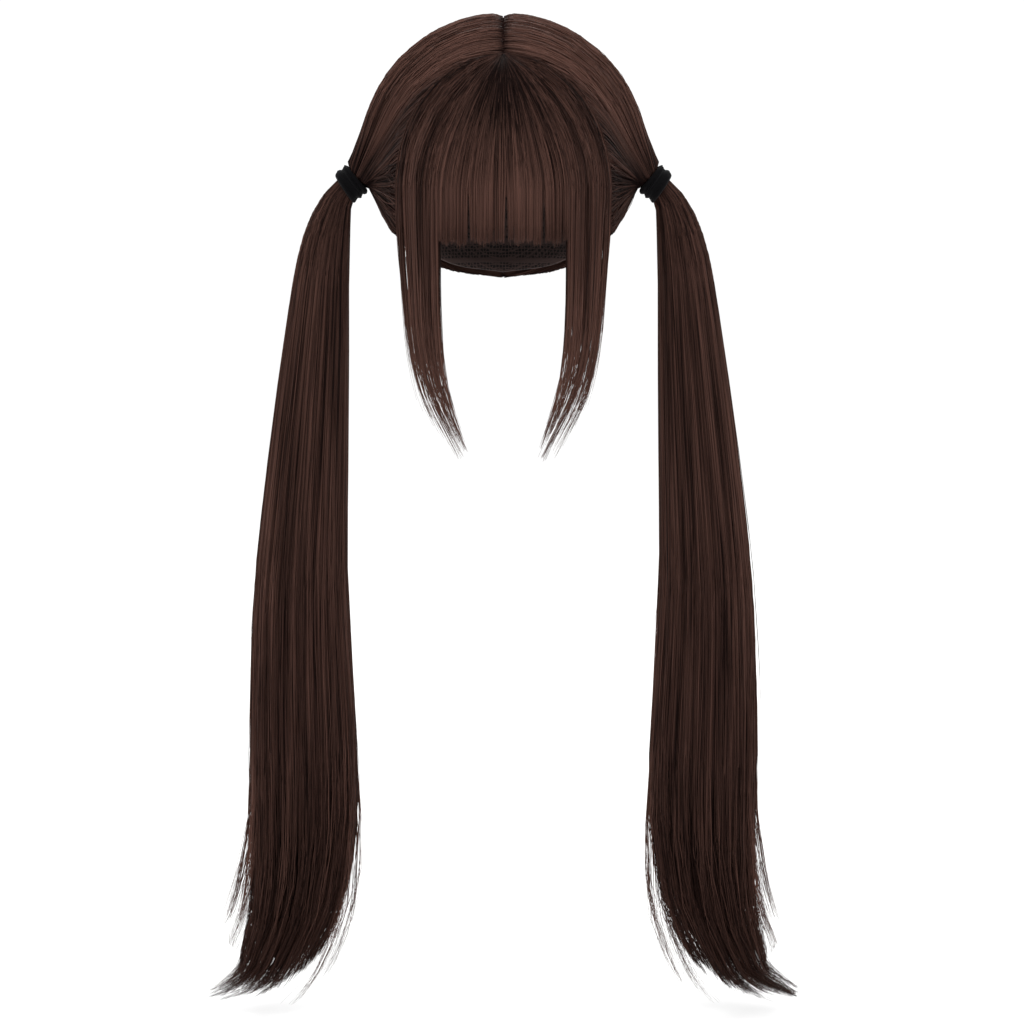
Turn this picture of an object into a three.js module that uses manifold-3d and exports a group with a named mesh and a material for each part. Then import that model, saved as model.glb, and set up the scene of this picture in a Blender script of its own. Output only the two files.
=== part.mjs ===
// A long pigtail wig in dark brown synthetic hair, in the shape that it has on a head.
// A close cap carries everything. Two halves of swept hair run from the centre parting and from
// the lower edge to a tie over each ear. A fan of hair falls from the front of the parting as a
// straight cut fringe with a longer lock at each side, and a tail of locks hangs from each tie.
// Millimetres and degrees. X points to the right as seen from the front, Y to the back and Z up,
// and the origin is the top of the hollow, where the crown of the head sits.

import * as THREE from "three";
import { mergeVertices } from "three/addons/utils/BufferGeometryUtils.js";
import Module from "manifold-3d";

const wasm = await Module();
wasm.setup();

// Head and cap
const HEAD_HALF_WIDTH = 74; // inside the cap, for a head of 54 cm
const HEAD_HALF_DEPTH = 93;
const HEAD_HALF_HEIGHT = 105; // from the top of the hollow down to its widest level
const CAP_WALL = 1.5;
const CAP_BELOW = 61; // from the widest level down to the cap's edge at the nape
const RIM_CUT = 8; // degrees by which the hollow is cut past the cap's edge
const HAIR_OVERHANG = 5; // of the swept hair past the cap's edge
const CLEARANCE = 0.3; // between two pieces that touch

// Fan of hair at the front, which becomes the fringe and the two side locks
const FAN_LIFT = 9; // from the head to the outside of the fan
const FAN_ROOT_THICKNESS = 7.5;
const FAN_THICKNESS = 4.5; // where it hangs
const FAN_TURN = 60; // from the middle of the front to the outer border of a side lock
const FRINGE_TURN = 31; // from the middle of the front to the end of the fringe
const FAN_START_TURN = 94; // of the outermost hair where it leaves the parting
const FAN_ROOT_RADIUS = 5; // the hairs start on this small arc and not in one point
const FAN_REACH = 0.35; // how long a hair keeps its first course, as a share of its run
const PARTING_FRONT_DROP = 14.5; // from the top of the hollow to the front of the parting
const FRINGE_HANG = 32; // from the widest level of the head down to the straight cut
const FRINGE_LOCKS = 13;
const SIDE_LOCK_RIDGES = 4;
const LOCK_RIDGE = 1.1; // how far the locks stand out of the fan
const SIDE_LOCK_HANG = 178; // from the widest level of the head down to the tips
const SIDE_LOCK_TIP_OUT = 30; // the tips from the middle plane
const SIDE_LOCK_TIP_FRONT = 68; // and forward of the middle of the head
const SIDE_LOCK_TIP_THICKNESS = 1.6;
const SIDE_LOCK_PLAIN = 0.8; // share of its hang past which a side lock is too thin for ridges

// Swept hair of the crown
const CROWN_SIDE_LIFT = 22; // from the head to the outside of the swept hair
const CROWN_BACK_LIFT = 15;
const CROWN_FRONT_LIFT = 5;
const CROWN_TOP_LIFT = 11.5;
const CROWN_LEVEL = 85; // from the top of the hollow down to where the hair is widest
const TIGHT_LIFT = 8; // from the head to the outside of the hair that is pulled tight
const PARTING_GAP = 0.4; // between the two halves
const PARTING_DIP = 4.5; // how deep the hair sinks towards the parting
const PARTING_SLOPE = 0.14; // share of the sweep over which it rises again
const SWEEP_SOFTNESS = 0.16; // how gently the hair lifts off the head towards the tie
const NECK_PULL = 0.8; // how straight it runs into the tie
const BORDER_TUCK = 2; // degrees by which it starts behind the border of the fan
const CROWN_RIDGE = 1.3; // how far the swept locks stand out
const CROWN_LOCKS = 17; // in each half
const RIDGE_ROUNDNESS = 0.7; // below 1 the locks are fuller and the valleys between them sharper

// Hair ties
const TIE_STAND_OFF = 7; // from the side of the swept hair to the centre of the tie
const TIE_BACK = 10; // behind the middle of the head
const TIE_DROP = 103; // from the top of the hollow to the centre of the tie
const TIE_SLOPE = 40; // of the hair through the tie, below the horizontal
const NECK_RADIUS = 6.3; // of the hair inside the tie
const NECK_SPARE = 1; // of the round neck past each end of the tie
const CORD_RADIUS = 1.7;
const CORD_PITCH = 3; // from one turn of the elastic to the next
const CORD_TURNS = 4;
const CORD_TILT = 2.5; // of every other turn
const FRONT_TURN = -95; // where the hair meets the neck of the tie, round from its top
const NAPE_TURN = 130;
const TEMPLE_TURN = 228;

// Tails
const TAIL_LENGTH = 547; // height of the tail below its tie
const TAIL_SWING = 92.6; // how far out the tips lie from the tie
const TAIL_HALF_WIDTH = 37;
const TAIL_HALF_DEPTH = 23;
const TAIL_VALLEY = 0.13; // depth of the valleys between the locks, as a share of the size
const TAIL_VALLEY_START = 0.25; // share of the sections over which the valleys set in
const TAIL_STEP_GROWTH = 1.3; // above 1 the sections lie closer together near the tie

// The cap's edge from the middle of the front to the nape
const CAP_EDGE = [
  { turn: 0, drop: 0.33 },
  { turn: 35, drop: 0.4 },
  { turn: 60, drop: 0.58 },
  { turn: 80, drop: 0.71 },
  { turn: 100, drop: 0.76 },
  { turn: 118, drop: 0.85 },
  { turn: 145, drop: 0.96 },
  { turn: 180, drop: 1 },
];
// How much of the crown's full bulk the hair has along the parting, front to nape
const PARTING_BULK = [
  { along: 0, bulk: 0 },
  { along: 0.12, bulk: 0.75 },
  { along: 0.23, bulk: 1 },
  { along: 0.45, bulk: 0.95 },
  { along: 0.65, bulk: 0.6 },
  { along: 0.85, bulk: 0.2 },
  { along: 1, bulk: 0 },
];
// A side lock from the widest level of the head to its tips: how far its two borders have come
// from the fan to the tips
const SIDE_LOCK_SECTIONS = [
  { down: 0, inner: 0, outer: 0 },
  { down: 0.2, inner: 0.03, outer: 0.03 },
  { down: 0.4, inner: 0.06, outer: 0.11 },
  { down: 0.55, inner: 0.16, outer: 0.21 },
  { down: 0.69, inner: 0.4, outer: 0.36 },
  { down: 0.8, inner: 0.76, outer: 0.52 },
  { down: 0.9, inner: 0.98, outer: 0.7 },
  { down: 1, inner: 1, outer: 0.96 },
];
// A tail from its tie to its tips
const TAIL_SECTIONS = [
  { down: 0, out: 0, wide: 0, deep: 0 },
  { down: 0.014, out: 0.041, wide: 0.1, deep: 0.14 },
  { down: 0.04, out: 0.089, wide: 0.225, deep: 0.34 },
  { down: 0.085, out: 0.139, wide: 0.345, deep: 0.5 },
  { down: 0.185, out: 0.19, wide: 0.5, deep: 0.68 },
  { down: 0.334, out: 0.255, wide: 0.68, deep: 0.85 },
  { down: 0.484, out: 0.31, wide: 0.82, deep: 0.95 },
  { down: 0.634, out: 0.302, wide: 0.965, deep: 1 },
  { down: 0.75, out: 0.288, wide: 1, deep: 0.98 },
  { down: 0.81, out: 0.297, wide: 0.92, deep: 0.95 },
  { down: 0.875, out: 0.34, wide: 0.81, deep: 0.88 },
  { down: 0.917, out: 0.4125, wide: 0.7, deep: 0.82 },
  { down: 0.947, out: 0.478, wide: 0.65, deep: 0.73 },
  { down: 0.971, out: 0.562, wide: 0.51, deep: 0.6 },
  { down: 0.989, out: 0.729, wide: 0.28, deep: 0.41 },
  { down: 1, out: 1, wide: 0.13, deep: 0.24 },
];
// The locks of a tail near its tips: place in the section, size, and where each one ends
const TAIL_LOCKS = [
  { across: 0, depth: 0, size: 0.6, end: 0.995 },
  { across: 0.6, depth: 0.05, size: 0.36, end: 0.975 },
  { across: 0.42, depth: 0.46, size: 0.38, end: 0.99 },
  { across: 0.02, depth: 0.6, size: 0.38, end: 0.997 },
  { across: -0.42, depth: 0.44, size: 0.38, end: 0.985 },
  { across: -0.6, depth: -0.05, size: 0.38, end: 0.992 },
  { across: -0.4, depth: -0.47, size: 0.38, end: 0.988 },
  { across: 0.04, depth: -0.6, size: 0.38, end: 1 },
  { across: 0.46, depth: -0.42, size: 0.36, end: 0.982 },
];
const TAIL_RIDGES = 8; // locks round the tail
const TAIL_BODY_END = 0.975; // where the body has given way to single locks
const TAIL_SPLIT = 0.86; // where the single locks start inside the body
const LOCK_ROOT = 0.6; // size of a lock at its start, as a share of its full size
const LOCK_TAPER = 0.88; // what a lock loses of its size towards its tip
// Where the fringe opens in a valley between two locks, and how far, as a share of its hang
const FRINGE_NOTCHES = [
  { valley: 3, rise: 0.8 },
  { valley: 7, rise: 1 },
  { valley: 10, rise: 0.7 },
];

// Number of flats
const DOME_TURNS = 32;
const DOME_STEPS = 8;
const PARTING_STEPS = 27;
const EDGE_STEPS = 15;
const BORDER_STEPS = 9;
const SWEEP_STEPS = 10;
const FAN_STEPS = 8;
const FRINGE_HANG_STEPS = 3;
const SIDE_LOCK_STEPS = 9;
const COURSE_STEP = 0.004; // share of the tail's length over which its course is read
const TAIL_STEPS = 15;
const TAIL_FLATS = 3; // for each ridge
const LOCK_STEPS = 4;
const LOCK_SIDES = 5;
const CORD_SIDES = 6;
const TURN_SIDES = 14;

const degrees = THREE.MathUtils.degToRad;
const lerp = THREE.MathUtils.lerp;
const clamp = THREE.MathUtils.clamp;
const vec = (x, y, z) => new THREE.Vector3(x, y, z);
const steps = (count) => Array.from({ length: count + 1 }, (_, i) => i / count);
const around = (count) => steps(count).slice(0, -1);

// Reads a column of a table between its rows, on a smooth curve through them.
function column(table, key, name, at) {
  const last = table.length - 1;
  let i = 0;
  while (i < last - 1 && at > table[i + 1][key]) i++;
  const slopeAt = (row) => {
    const [low, high] = [table[Math.max(row - 1, 0)], table[Math.min(row + 1, last)]];
    return (high[name] - low[name]) / (high[key] - low[key]);
  };
  const [a, b] = [table[i], table[i + 1]];
  const span = b[key] - a[key];
  const t = clamp((at - a[key]) / span, 0, 1);
  const start = (1 + 2 * t) * (1 - t) ** 2 * a[name] + t * (1 - t) ** 2 * span * slopeAt(i);
  return start + t * t * (3 - 2 * t) * b[name] + t * t * (t - 1) * span * slopeAt(i + 1);
}

// Solids

// Makes a solid of a closed geometry, with its faces turned outwards.
function solidOf(geometry) {
  geometry.deleteAttribute("normal");
  geometry.deleteAttribute("uv");
  const merged = mergeVertices(geometry, 1e-4);
  const corners = [];
  for (let i = 0; i < merged.index.count; i += 3) {
    const [a, b, c] = [0, 1, 2].map((j) => merged.index.getX(i + j));
    if (a !== b && b !== c && c !== a) corners.push(a, b, c);
  }
  const make = (list) =>
    new wasm.Manifold(
      new wasm.Mesh({
        numProp: 3,
        vertProperties: merged.attributes.position.array,
        triVerts: new Uint32Array(list),
      }),
    );
  const solid = make(corners);
  return solid.volume() > 0 ? solid : make(corners.reverse());
}

// A closed solid through rings of points, each end drawn to a point of its own.
function loft(rings, startPoint, endPoint) {
  const size = rings[0].length;
  const points = [...rings.flat(), startPoint, endPoint];
  const start = points.length - 2;
  const end = points.length - 1;
  const corner = (ring, i) => ring * size + (i % size);
  const faces = [];
  for (let i = 0; i < size; i++) {
    faces.push(start, corner(0, i + 1), corner(0, i));
    faces.push(end, corner(rings.length - 1, i), corner(rings.length - 1, i + 1));
    for (let ring = 0; ring < rings.length - 1; ring++) {
      faces.push(corner(ring, i), corner(ring, i + 1), corner(ring + 1, i));
      faces.push(corner(ring, i + 1), corner(ring + 1, i + 1), corner(ring + 1, i));
    }
  }
  const geometry = new THREE.BufferGeometry().setFromPoints(points);
  geometry.setIndex(faces);
  return solidOf(geometry);
}

const middle = (ring) => ring.reduce((sum, p) => sum.add(p), vec(0, 0, 0)).divideScalar(ring.length);

const joined = (solids) => solids.reduce((all, next) => all.add(next));

// 0 in the valleys between locks and 1 on each lock.
const ridge = (share, count) =>
  Math.abs(Math.sin(Math.PI * share * count)) ** RIDGE_ROUNDNESS;

// Head forms

const headCentre = vec(0, 0, -HEAD_HALF_HEIGHT);

// The egg of the head, grown on all sides.
const headForm = (grow) => ({
  centre: headCentre,
  radii: vec(HEAD_HALF_WIDTH + grow, HEAD_HALF_DEPTH + grow, HEAD_HALF_HEIGHT + grow),
});

const fanForm = headForm(FAN_LIFT);
const tightForm = headForm(TIGHT_LIFT);
const crownForm = {
  centre: vec(0, (CROWN_BACK_LIFT - CROWN_FRONT_LIFT) / 2, -CROWN_LEVEL),
  radii: vec(
    HEAD_HALF_WIDTH + CROWN_SIDE_LIFT,
    HEAD_HALF_DEPTH + (CROWN_BACK_LIFT + CROWN_FRONT_LIFT) / 2,
    CROWN_LEVEL + CROWN_TOP_LIFT,
  ),
};

const blendForms = (a, b, share) => ({
  centre: a.centre.clone().lerp(b.centre, share),
  radii: a.radii.clone().lerp(b.radii, share),
});

// How far out a point lies, where 1 is on the form.
const reach = (form, point) => point.clone().sub(form.centre).divide(form.radii).length();

const outwards = (form, point) =>
  point.clone().sub(form.centre).divide(form.radii).divide(form.radii).normalize();

const pushedTo = (form, point, wanted) =>
  point.clone().sub(form.centre).multiplyScalar(wanted / reach(form, point)).add(form.centre);

// The point of a form at a turn from the front and a tilt from the top, in radians.
const onForm = (form, turn, tilt) =>
  vec(Math.sin(tilt) * Math.sin(turn), -Math.sin(tilt) * Math.cos(turn), Math.cos(tilt))
    .multiply(form.radii)
    .add(form.centre);

// The tilt at which a form has a given height.
const tiltAt = (form, height) => Math.acos(clamp((height - form.centre.z) / form.radii.z, -1, 1));

// Cap

const edgeDrop = (turn) =>
  (HEAD_HALF_HEIGHT + CAP_BELOW) * column(CAP_EDGE, "turn", "drop", Math.min(turn, 360 - turn));

// A dome that ends at the cap's edge, or some degrees below it, drawn to a point inside the head.
function dome(grow, below, closing) {
  const form = headForm(grow);
  const rings = steps(DOME_STEPS)
    .slice(1)
    .map((share) =>
      around(DOME_TURNS).map((round) => {
        const edge = tiltAt(headForm(0), -edgeDrop(round * 360)) + degrees(below);
        return onForm(form, round * 2 * Math.PI, share * edge);
      }),
    );
  return loft(rings, onForm(form, 0, 0), closing);
}

// The hollow is drawn to a lower point than the outside, so that it opens the cap downwards.
const hollowPoint = headCentre.clone().setZ(headCentre.z - HEAD_HALF_HEIGHT / 10);
const cap = dome(CAP_WALL, 0, headCentre).subtract(dome(0, RIM_CUT, hollowPoint));

// What the hair leaves free for the head and the cap: a whole egg, large enough for its flats to
// clear the cap as well.
function headRoom() {
  const flats = 2 - 2 * Math.cos(Math.PI / DOME_TURNS);
  const form = headForm(CAP_WALL + CLEARANCE + HEAD_HALF_HEIGHT * flats);
  const rings = steps(DOME_TURNS / 2)
    .slice(1, -1)
    .map((share) =>
      around(DOME_TURNS).map((round) => onForm(form, round * 2 * Math.PI, share * Math.PI)),
    );
  return loft(rings, onForm(form, 0, 0), onForm(form, 0, Math.PI));
}

const room = headRoom();

// Fan

const fanRoot = onForm(fanForm, 0, tiltAt(fanForm, -PARTING_FRONT_DROP));

// A hair of the fan at a turn from the front. Along 0 to 1 it crosses the head, from the parting
// to the level where it hangs straight down.
function fanHair(turn, along) {
  const foot = onForm(fanForm, degrees(turn), Math.PI / 2);
  const startTurn = degrees((turn / FAN_TURN) * FAN_START_TURN);
  const course = vec(Math.sin(startTurn), -Math.cos(startTurn), 0);
  const start = fanRoot.clone().addScaledVector(course, FAN_ROOT_RADIUS);
  const bend = start.clone().addScaledVector(course, foot.distanceTo(fanRoot) * FAN_REACH);
  const plan = new THREE.QuadraticBezierCurve3(start, bend, foot).getPoint(1 - (1 - along) ** 2);
  const inside = 1 - (plan.x / fanForm.radii.x) ** 2 - (plan.y / fanForm.radii.y) ** 2;
  return plan.setZ(fanForm.centre.z + fanForm.radii.z * Math.sqrt(Math.max(inside, 0)));
}

// Out of the fan, which is level where the hair hangs.
const fanOut = (point) => outwards(fanForm, point.clone().setZ(Math.max(point.z, headCentre.z)));

// A section across a strip of the fan: the outside from border to border, then the inside back.
// The borders move in by half the clearance, or out where the strip is cut from a neighbour.
function stripSection(outside, thickness, ridges, inset) {
  const last = outside.length - 1;
  const border = [outside[1].clone(), outside[last - 1].clone()];
  for (const [point, next] of [
    [outside[0], border[0]],
    [outside[last], border[1]],
  ]) {
    point.addScaledVector(next.sub(point).normalize(), inset);
  }
  const raised = outside.map((point, i) => {
    const low = ridges ? LOCK_RIDGE * (ridge(i / last, ridges) - 1) : 0;
    return point.clone().addScaledVector(fanOut(point), low);
  });
  const inside = outside
    .filter((_, i) => i % 2 === 0)
    .map((point) => point.clone().addScaledVector(fanOut(point), -thickness));
  return [...raised, ...inside.reverse()];
}

// The turns at which a strip has its locks and the valleys beside them.
const acrossStrip = (from, to, ridges) => steps(ridges * 2).map((share) => lerp(from, to, share));

// The part of a strip that lies on the head.
function stripOnHead(turns, ridges) {
  return steps(FAN_STEPS).map((along) =>
    stripSection(
      turns.map((turn) => fanHair(turn, along)),
      lerp(FAN_ROOT_THICKNESS, FAN_THICKNESS, along),
      ridges,
      CLEARANCE / 2,
    ),
  );
}

// How far the straight cut is opened at a place across the fringe, 0 to 1.
const notch = (i) => FRINGE_NOTCHES.find(({ valley }) => i === 2 * valley)?.rise ?? 0;

function makeFringe() {
  const turns = acrossStrip(-FRINGE_TURN, FRINGE_TURN, FRINGE_LOCKS);
  const hanging = steps(FRINGE_HANG_STEPS)
    .slice(1)
    .map((down) =>
      stripSection(
        turns.map((turn, i) => {
          const point = fanHair(turn, 1);
          return point.setZ(point.z - FRINGE_HANG * down * (1 - notch(i)));
        }),
        FAN_THICKNESS,
        FRINGE_LOCKS,
        CLEARANCE / 2,
      ),
    );
  const rings = [...stripOnHead(turns, FRINGE_LOCKS), ...hanging];
  return loft(rings, middle(rings[0]), middle(rings.at(-1))).subtract(room);
}

function makeSideLock() {
  const turns = acrossStrip(FRINGE_TURN, FAN_TURN, SIDE_LOCK_RIDGES);
  const tip = vec(SIDE_LOCK_TIP_OUT, -SIDE_LOCK_TIP_FRONT, 0);
  const hanging = steps(SIDE_LOCK_STEPS)
    .slice(1)
    .map((down) => {
      const inner = column(SIDE_LOCK_SECTIONS, "down", "inner", down);
      const outer = column(SIDE_LOCK_SECTIONS, "down", "outer", down);
      const points = turns.map((turn) => {
        const point = fanHair(turn, 1);
        const gathered = lerp(inner, outer, (turn - FRINGE_TURN) / (FAN_TURN - FRINGE_TURN));
        const height = headCentre.z - SIDE_LOCK_HANG * down;
        return point.lerp(tip, gathered).setZ(height);
      });
      const thickness = lerp(FAN_THICKNESS, SIDE_LOCK_TIP_THICKNESS, down ** 2);
      return stripSection(points, thickness, down < SIDE_LOCK_PLAIN ? SIDE_LOCK_RIDGES : 0, CLEARANCE / 2);
    });
  const rings = [...stripOnHead(turns, SIDE_LOCK_RIDGES), ...hanging];
  return loft(rings, middle(rings[0]), middle(rings.at(-1))).subtract(room);
}

// What the swept hair leaves free for the fan, which is thicker than the fan on both sides.
function makeFanRoom() {
  const turns = acrossStrip(-FAN_TURN, FAN_TURN, FRINGE_LOCKS);
  const levels = [...steps(FAN_STEPS).map((along) => [along, 0]), [1, FRINGE_HANG]];
  const rings = levels.map(([along, drop]) =>
    stripSection(
      turns.map((turn) => {
        const point = fanHair(turn, along);
        const raised = point.addScaledVector(fanOut(point), TIGHT_LIFT / 2);
        return raised.setZ(raised.z - drop);
      }),
      2 * FAN_ROOT_THICKNESS,
      0,
      -CLEARANCE,
    ),
  );
  return loft(rings, middle(rings[0]), middle(rings.at(-1)));
}

// Hair tie

const tieCentre = vec(crownForm.radii.x + TIE_STAND_OFF, TIE_BACK, -TIE_DROP);
const tieAxis = vec(Math.cos(degrees(TIE_SLOPE)), 0, -Math.sin(degrees(TIE_SLOPE)));
const tieUp = vec(-tieAxis.z, 0, tieAxis.x);
const tieHalf = ((CORD_TURNS - 1) / 2) * CORD_PITCH + CORD_RADIUS;
const cordCourse = (NECK_RADIUS + CLEARANCE) / Math.cos(Math.PI / TURN_SIDES) + CORD_RADIUS;
const alongTie = (distance) => tieCentre.clone().addScaledVector(tieAxis, distance);

const circle = (centre, radius, turns) =>
  turns.map((turn) =>
    centre
      .clone()
      .addScaledVector(tieUp, radius * Math.cos(turn))
      .add(vec(0, radius * Math.sin(turn), 0)),
  );

// Turns a geometry whose axis is Z so that it lies round the tie's axis.
const placedOnTie = (geometry, distance, tilt) => {
  const turn = new THREE.Quaternion().setFromUnitVectors(vec(0, 0, 1), tieAxis);
  const lean = new THREE.Quaternion().setFromAxisAngle(vec(0, 1, 0), degrees(tilt));
  return geometry.applyQuaternion(lean.multiply(turn)).translate(...alongTie(distance));
};

function makeTie() {
  return joined(
    Array.from({ length: CORD_TURNS }, (_, i) => {
      const coil = new THREE.TorusGeometry(cordCourse, CORD_RADIUS, CORD_SIDES, TURN_SIDES);
      const distance = (i - (CORD_TURNS - 1) / 2) * CORD_PITCH;
      return solidOf(placedOnTie(coil, distance, i % 2 ? CORD_TILT : 0));
    }),
  );
}

// What the hair leaves free for the tie, round the neck.
function makeTieRoom() {
  const lean = cordCourse * Math.sin(degrees(CORD_TILT));
  const half = tieHalf + CLEARANCE + lean;
  const inner = (NECK_RADIUS + CLEARANCE / 2) / Math.cos(Math.PI / TURN_SIDES);
  const outer = (cordCourse + CORD_RADIUS + CLEARANCE) / Math.cos(Math.PI / TURN_SIDES);
  const profile = [
    [inner, -half],
    [outer, -half],
    [outer, half],
    [inner, half],
    [inner, -half],
  ].map(([radius, height]) => new THREE.Vector2(radius, height));
  const ring = new THREE.LatheGeometry(profile, TURN_SIDES).rotateX(Math.PI / 2);
  return solidOf(placedOnTie(ring, 0, 0));
}

const tieRoom = makeTieRoom();

// Swept hair

// Where each strand of a half starts, in order round the half: back along the parting, forward
// along the lower edge and up the border of the fan. Each has its form and its place on the neck.
function sweepStarts() {
  const front = tiltAt(tightForm, -PARTING_FRONT_DROP);
  const nape = -tiltAt(tightForm, -edgeDrop(180) - HAIR_OVERHANG);
  const parting = around(PARTING_STEPS).map((along) => {
    const bulk = column(PARTING_BULK, "along", "bulk", along);
    const form = blendForms(tightForm, crownForm, bulk);
    const neckTurn = lerp(FRONT_TURN, NAPE_TURN, along);
    return { form, bulk, neckTurn, start: onForm(form, 0, lerp(front, nape, along)) };
  });
  const edge = around(EDGE_STEPS).map((along) => {
    const turn = lerp(180, FAN_TURN, along);
    const tilt = tiltAt(tightForm, -edgeDrop(turn) - HAIR_OVERHANG);
    const neckTurn = lerp(NAPE_TURN, TEMPLE_TURN, along);
    return { form: tightForm, bulk: 0, neckTurn, start: onForm(tightForm, degrees(turn), tilt) };
  });
  const border = around(BORDER_STEPS).map((along) => {
    const neckTurn = lerp(TEMPLE_TURN, FRONT_TURN + 360, along);
    const start = pushedTo(tightForm, fanHair(FAN_TURN - BORDER_TUCK, 1 - along), 1);
    return { form: tightForm, bulk: 0, neckTurn, start };
  });
  return [...parting, ...edge, ...border];
}

// A point of a strand from its start, at 0, to the neck of the tie, at 1.
function sweptHair({ form, bulk, start }, neck, along) {
  const run = neck.clone().sub(start);
  const straight = run.length();
  const [a, b] = [along, 1 - along];
  const point = start
    .clone()
    .multiplyScalar((1 + 2 * a) * b * b)
    .addScaledVector(run, a * b * b)
    .addScaledVector(neck, a * a * (3 - 2 * a))
    .addScaledVector(tieAxis, -a * a * b * straight * NECK_PULL);
  const out = reach(form, point);
  const soft = SWEEP_SOFTNESS * a * b;
  const wanted = (out + 1 + Math.hypot(out - 1, soft)) / 2;
  const dip = (PARTING_DIP * bulk * Math.max(0, 1 - a / PARTING_SLOPE) ** 2) / form.radii.z;
  return pushedTo(form, point, wanted - dip);
}

function makeSweptHair() {
  const starts = sweepStarts();
  const lastNeck = alongTie(-CLEARANCE / 2);
  const necks = circle(
    alongTie(-tieHalf - NECK_SPARE),
    NECK_RADIUS,
    starts.map(({ neckTurn }) => degrees(neckTurn)),
  );
  const rings = steps(SWEEP_STEPS).map((share) => {
    const along = (1 - Math.cos(Math.PI * share)) / 2;
    const relief = CROWN_RIDGE * Math.sqrt(Math.sin(Math.PI * along));
    return starts.map((strand, i) => {
      const point = sweptHair(strand, necks[i], along);
      const height = relief * (ridge(i / starts.length, CROWN_LOCKS) - 1);
      point.addScaledVector(outwards(strand.form, point), height);
      return point.setX(Math.max(point.x, PARTING_GAP / 2));
    });
  });
  rings.push(necks.map((point) => point.clone().sub(alongTie(-tieHalf - NECK_SPARE)).add(lastNeck)));
  return loft(rings, headCentre.clone().setX(PARTING_GAP / 2), lastNeck)
    .subtract(room)
    .subtract(makeFanRoom())
    .subtract(tieRoom);
}

// Tail

// The middle of the tail and its two half sizes.
function tailSection(down) {
  const read = (name) => column(TAIL_SECTIONS, "down", name, down);
  const centre = alongTie(tieHalf + NECK_SPARE);
  centre.x += TAIL_SWING * read("out");
  centre.z -= TAIL_LENGTH * down;
  return {
    centre,
    halfWidth: lerp(NECK_RADIUS, TAIL_HALF_WIDTH, read("wide")),
    halfDepth: lerp(NECK_RADIUS, TAIL_HALF_DEPTH, read("deep")),
  };
}

// Points round a place in the tail's section, which is square to the tail's course.
function tailRing(down, turns, radius, across, depth) {
  const { centre, halfWidth, halfDepth } = tailSection(down);
  const ahead = tailSection(Math.min(down + COURSE_STEP, 1)).centre;
  const behind = tailSection(Math.max(down - COURSE_STEP, 0)).centre;
  const course = down > 0 ? ahead.sub(behind).normalize() : tieAxis;
  const side = vec(-course.z, 0, course.x);
  return turns.map((turn, i) =>
    centre
      .clone()
      .addScaledVector(side, halfWidth * (across + radius(i) * Math.cos(turn)))
      .add(vec(0, halfDepth * (depth + radius(i) * Math.sin(turn)), 0)),
  );
}

function makeTail() {
  const count = TAIL_RIDGES * TAIL_FLATS;
  const turns = around(count).map((share) => share * 2 * Math.PI);
  const bodyRings = steps(TAIL_STEPS).map((share) => {
    const down = TAIL_BODY_END * share ** TAIL_STEP_GROWTH;
    const left = (TAIL_BODY_END - down) / (TAIL_BODY_END - TAIL_SPLIT);
    const narrow = Math.sqrt(clamp(left, TAIL_VALLEY, 1));
    const valley = TAIL_VALLEY * Math.min(1, share / TAIL_VALLEY_START);
    const radius = (i) => narrow * (1 - valley * (1 - ridge(i / count, TAIL_RIDGES)));
    return tailRing(down, turns, radius, 0, 0);
  });
  const firstNeck = alongTie(CLEARANCE / 2);
  const neck = circle(firstNeck, NECK_RADIUS, turns);
  const body = loft([neck, ...bodyRings], firstNeck, middle(bodyRings.at(-1)));
  const lockTurns = around(LOCK_SIDES).map((share) => share * 2 * Math.PI);
  const locks = TAIL_LOCKS.map(({ across, depth, size, end }) => {
    const rings = steps(LOCK_STEPS).map((share) => {
      const down = lerp(TAIL_SPLIT, end, share);
      const swell = Math.min(1, lerp(LOCK_ROOT, 1, 2 * share));
      const radius = () => size * swell * (1 - LOCK_TAPER * share ** 2);
      return tailRing(down, lockTurns, radius, across * Math.sqrt(swell), depth * Math.sqrt(swell));
    });
    return loft(rings, middle(rings[0]), middle(rings.at(-1)));
  });
  return joined([body, ...locks]).subtract(tieRoom);
}

// Materials

const hair = new THREE.MeshStandardMaterial({ color: "#3a2723", roughness: 0.42, metalness: 0 });
const elastic = new THREE.MeshStandardMaterial({ color: "#151315", roughness: 0.8, metalness: 0 });
const net = new THREE.MeshStandardMaterial({ color: "#2a2120", roughness: 0.9, metalness: 0 });

// Assembly

function meshOf(name, solid, material) {
  const { vertProperties, triVerts } = solid.getMesh();
  const geometry = new THREE.BufferGeometry();
  geometry.setAttribute("position", new THREE.BufferAttribute(vertProperties, 3));
  geometry.setIndex(new THREE.BufferAttribute(triVerts, 1));
  geometry.computeVertexNormals();
  const mesh = new THREE.Mesh(geometry, material);
  mesh.name = name;
  return mesh;
}

const wig = new THREE.Group();
wig.add(meshOf("wig_cap", cap, net), meshOf("fringe", makeFringe(), hair));

const pairs = {
  crown_hair: { solid: makeSweptHair(), material: hair },
  side_lock: { solid: makeSideLock(), material: hair },
  band: { solid: makeTie(), material: elastic },
  tail: { solid: makeTail(), material: hair },
};
// Right and left are as seen from the front.
for (const [side, mirror] of [
  ["right", 1],
  ["left", -1],
]) {
  const half = new THREE.Group();
  half.scale.x = mirror;
  for (const [name, { solid, material }] of Object.entries(pairs)) {
    half.add(meshOf(`${name}_${side}`, solid, material));
  }
  wig.add(half);
}

export default wig;
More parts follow.
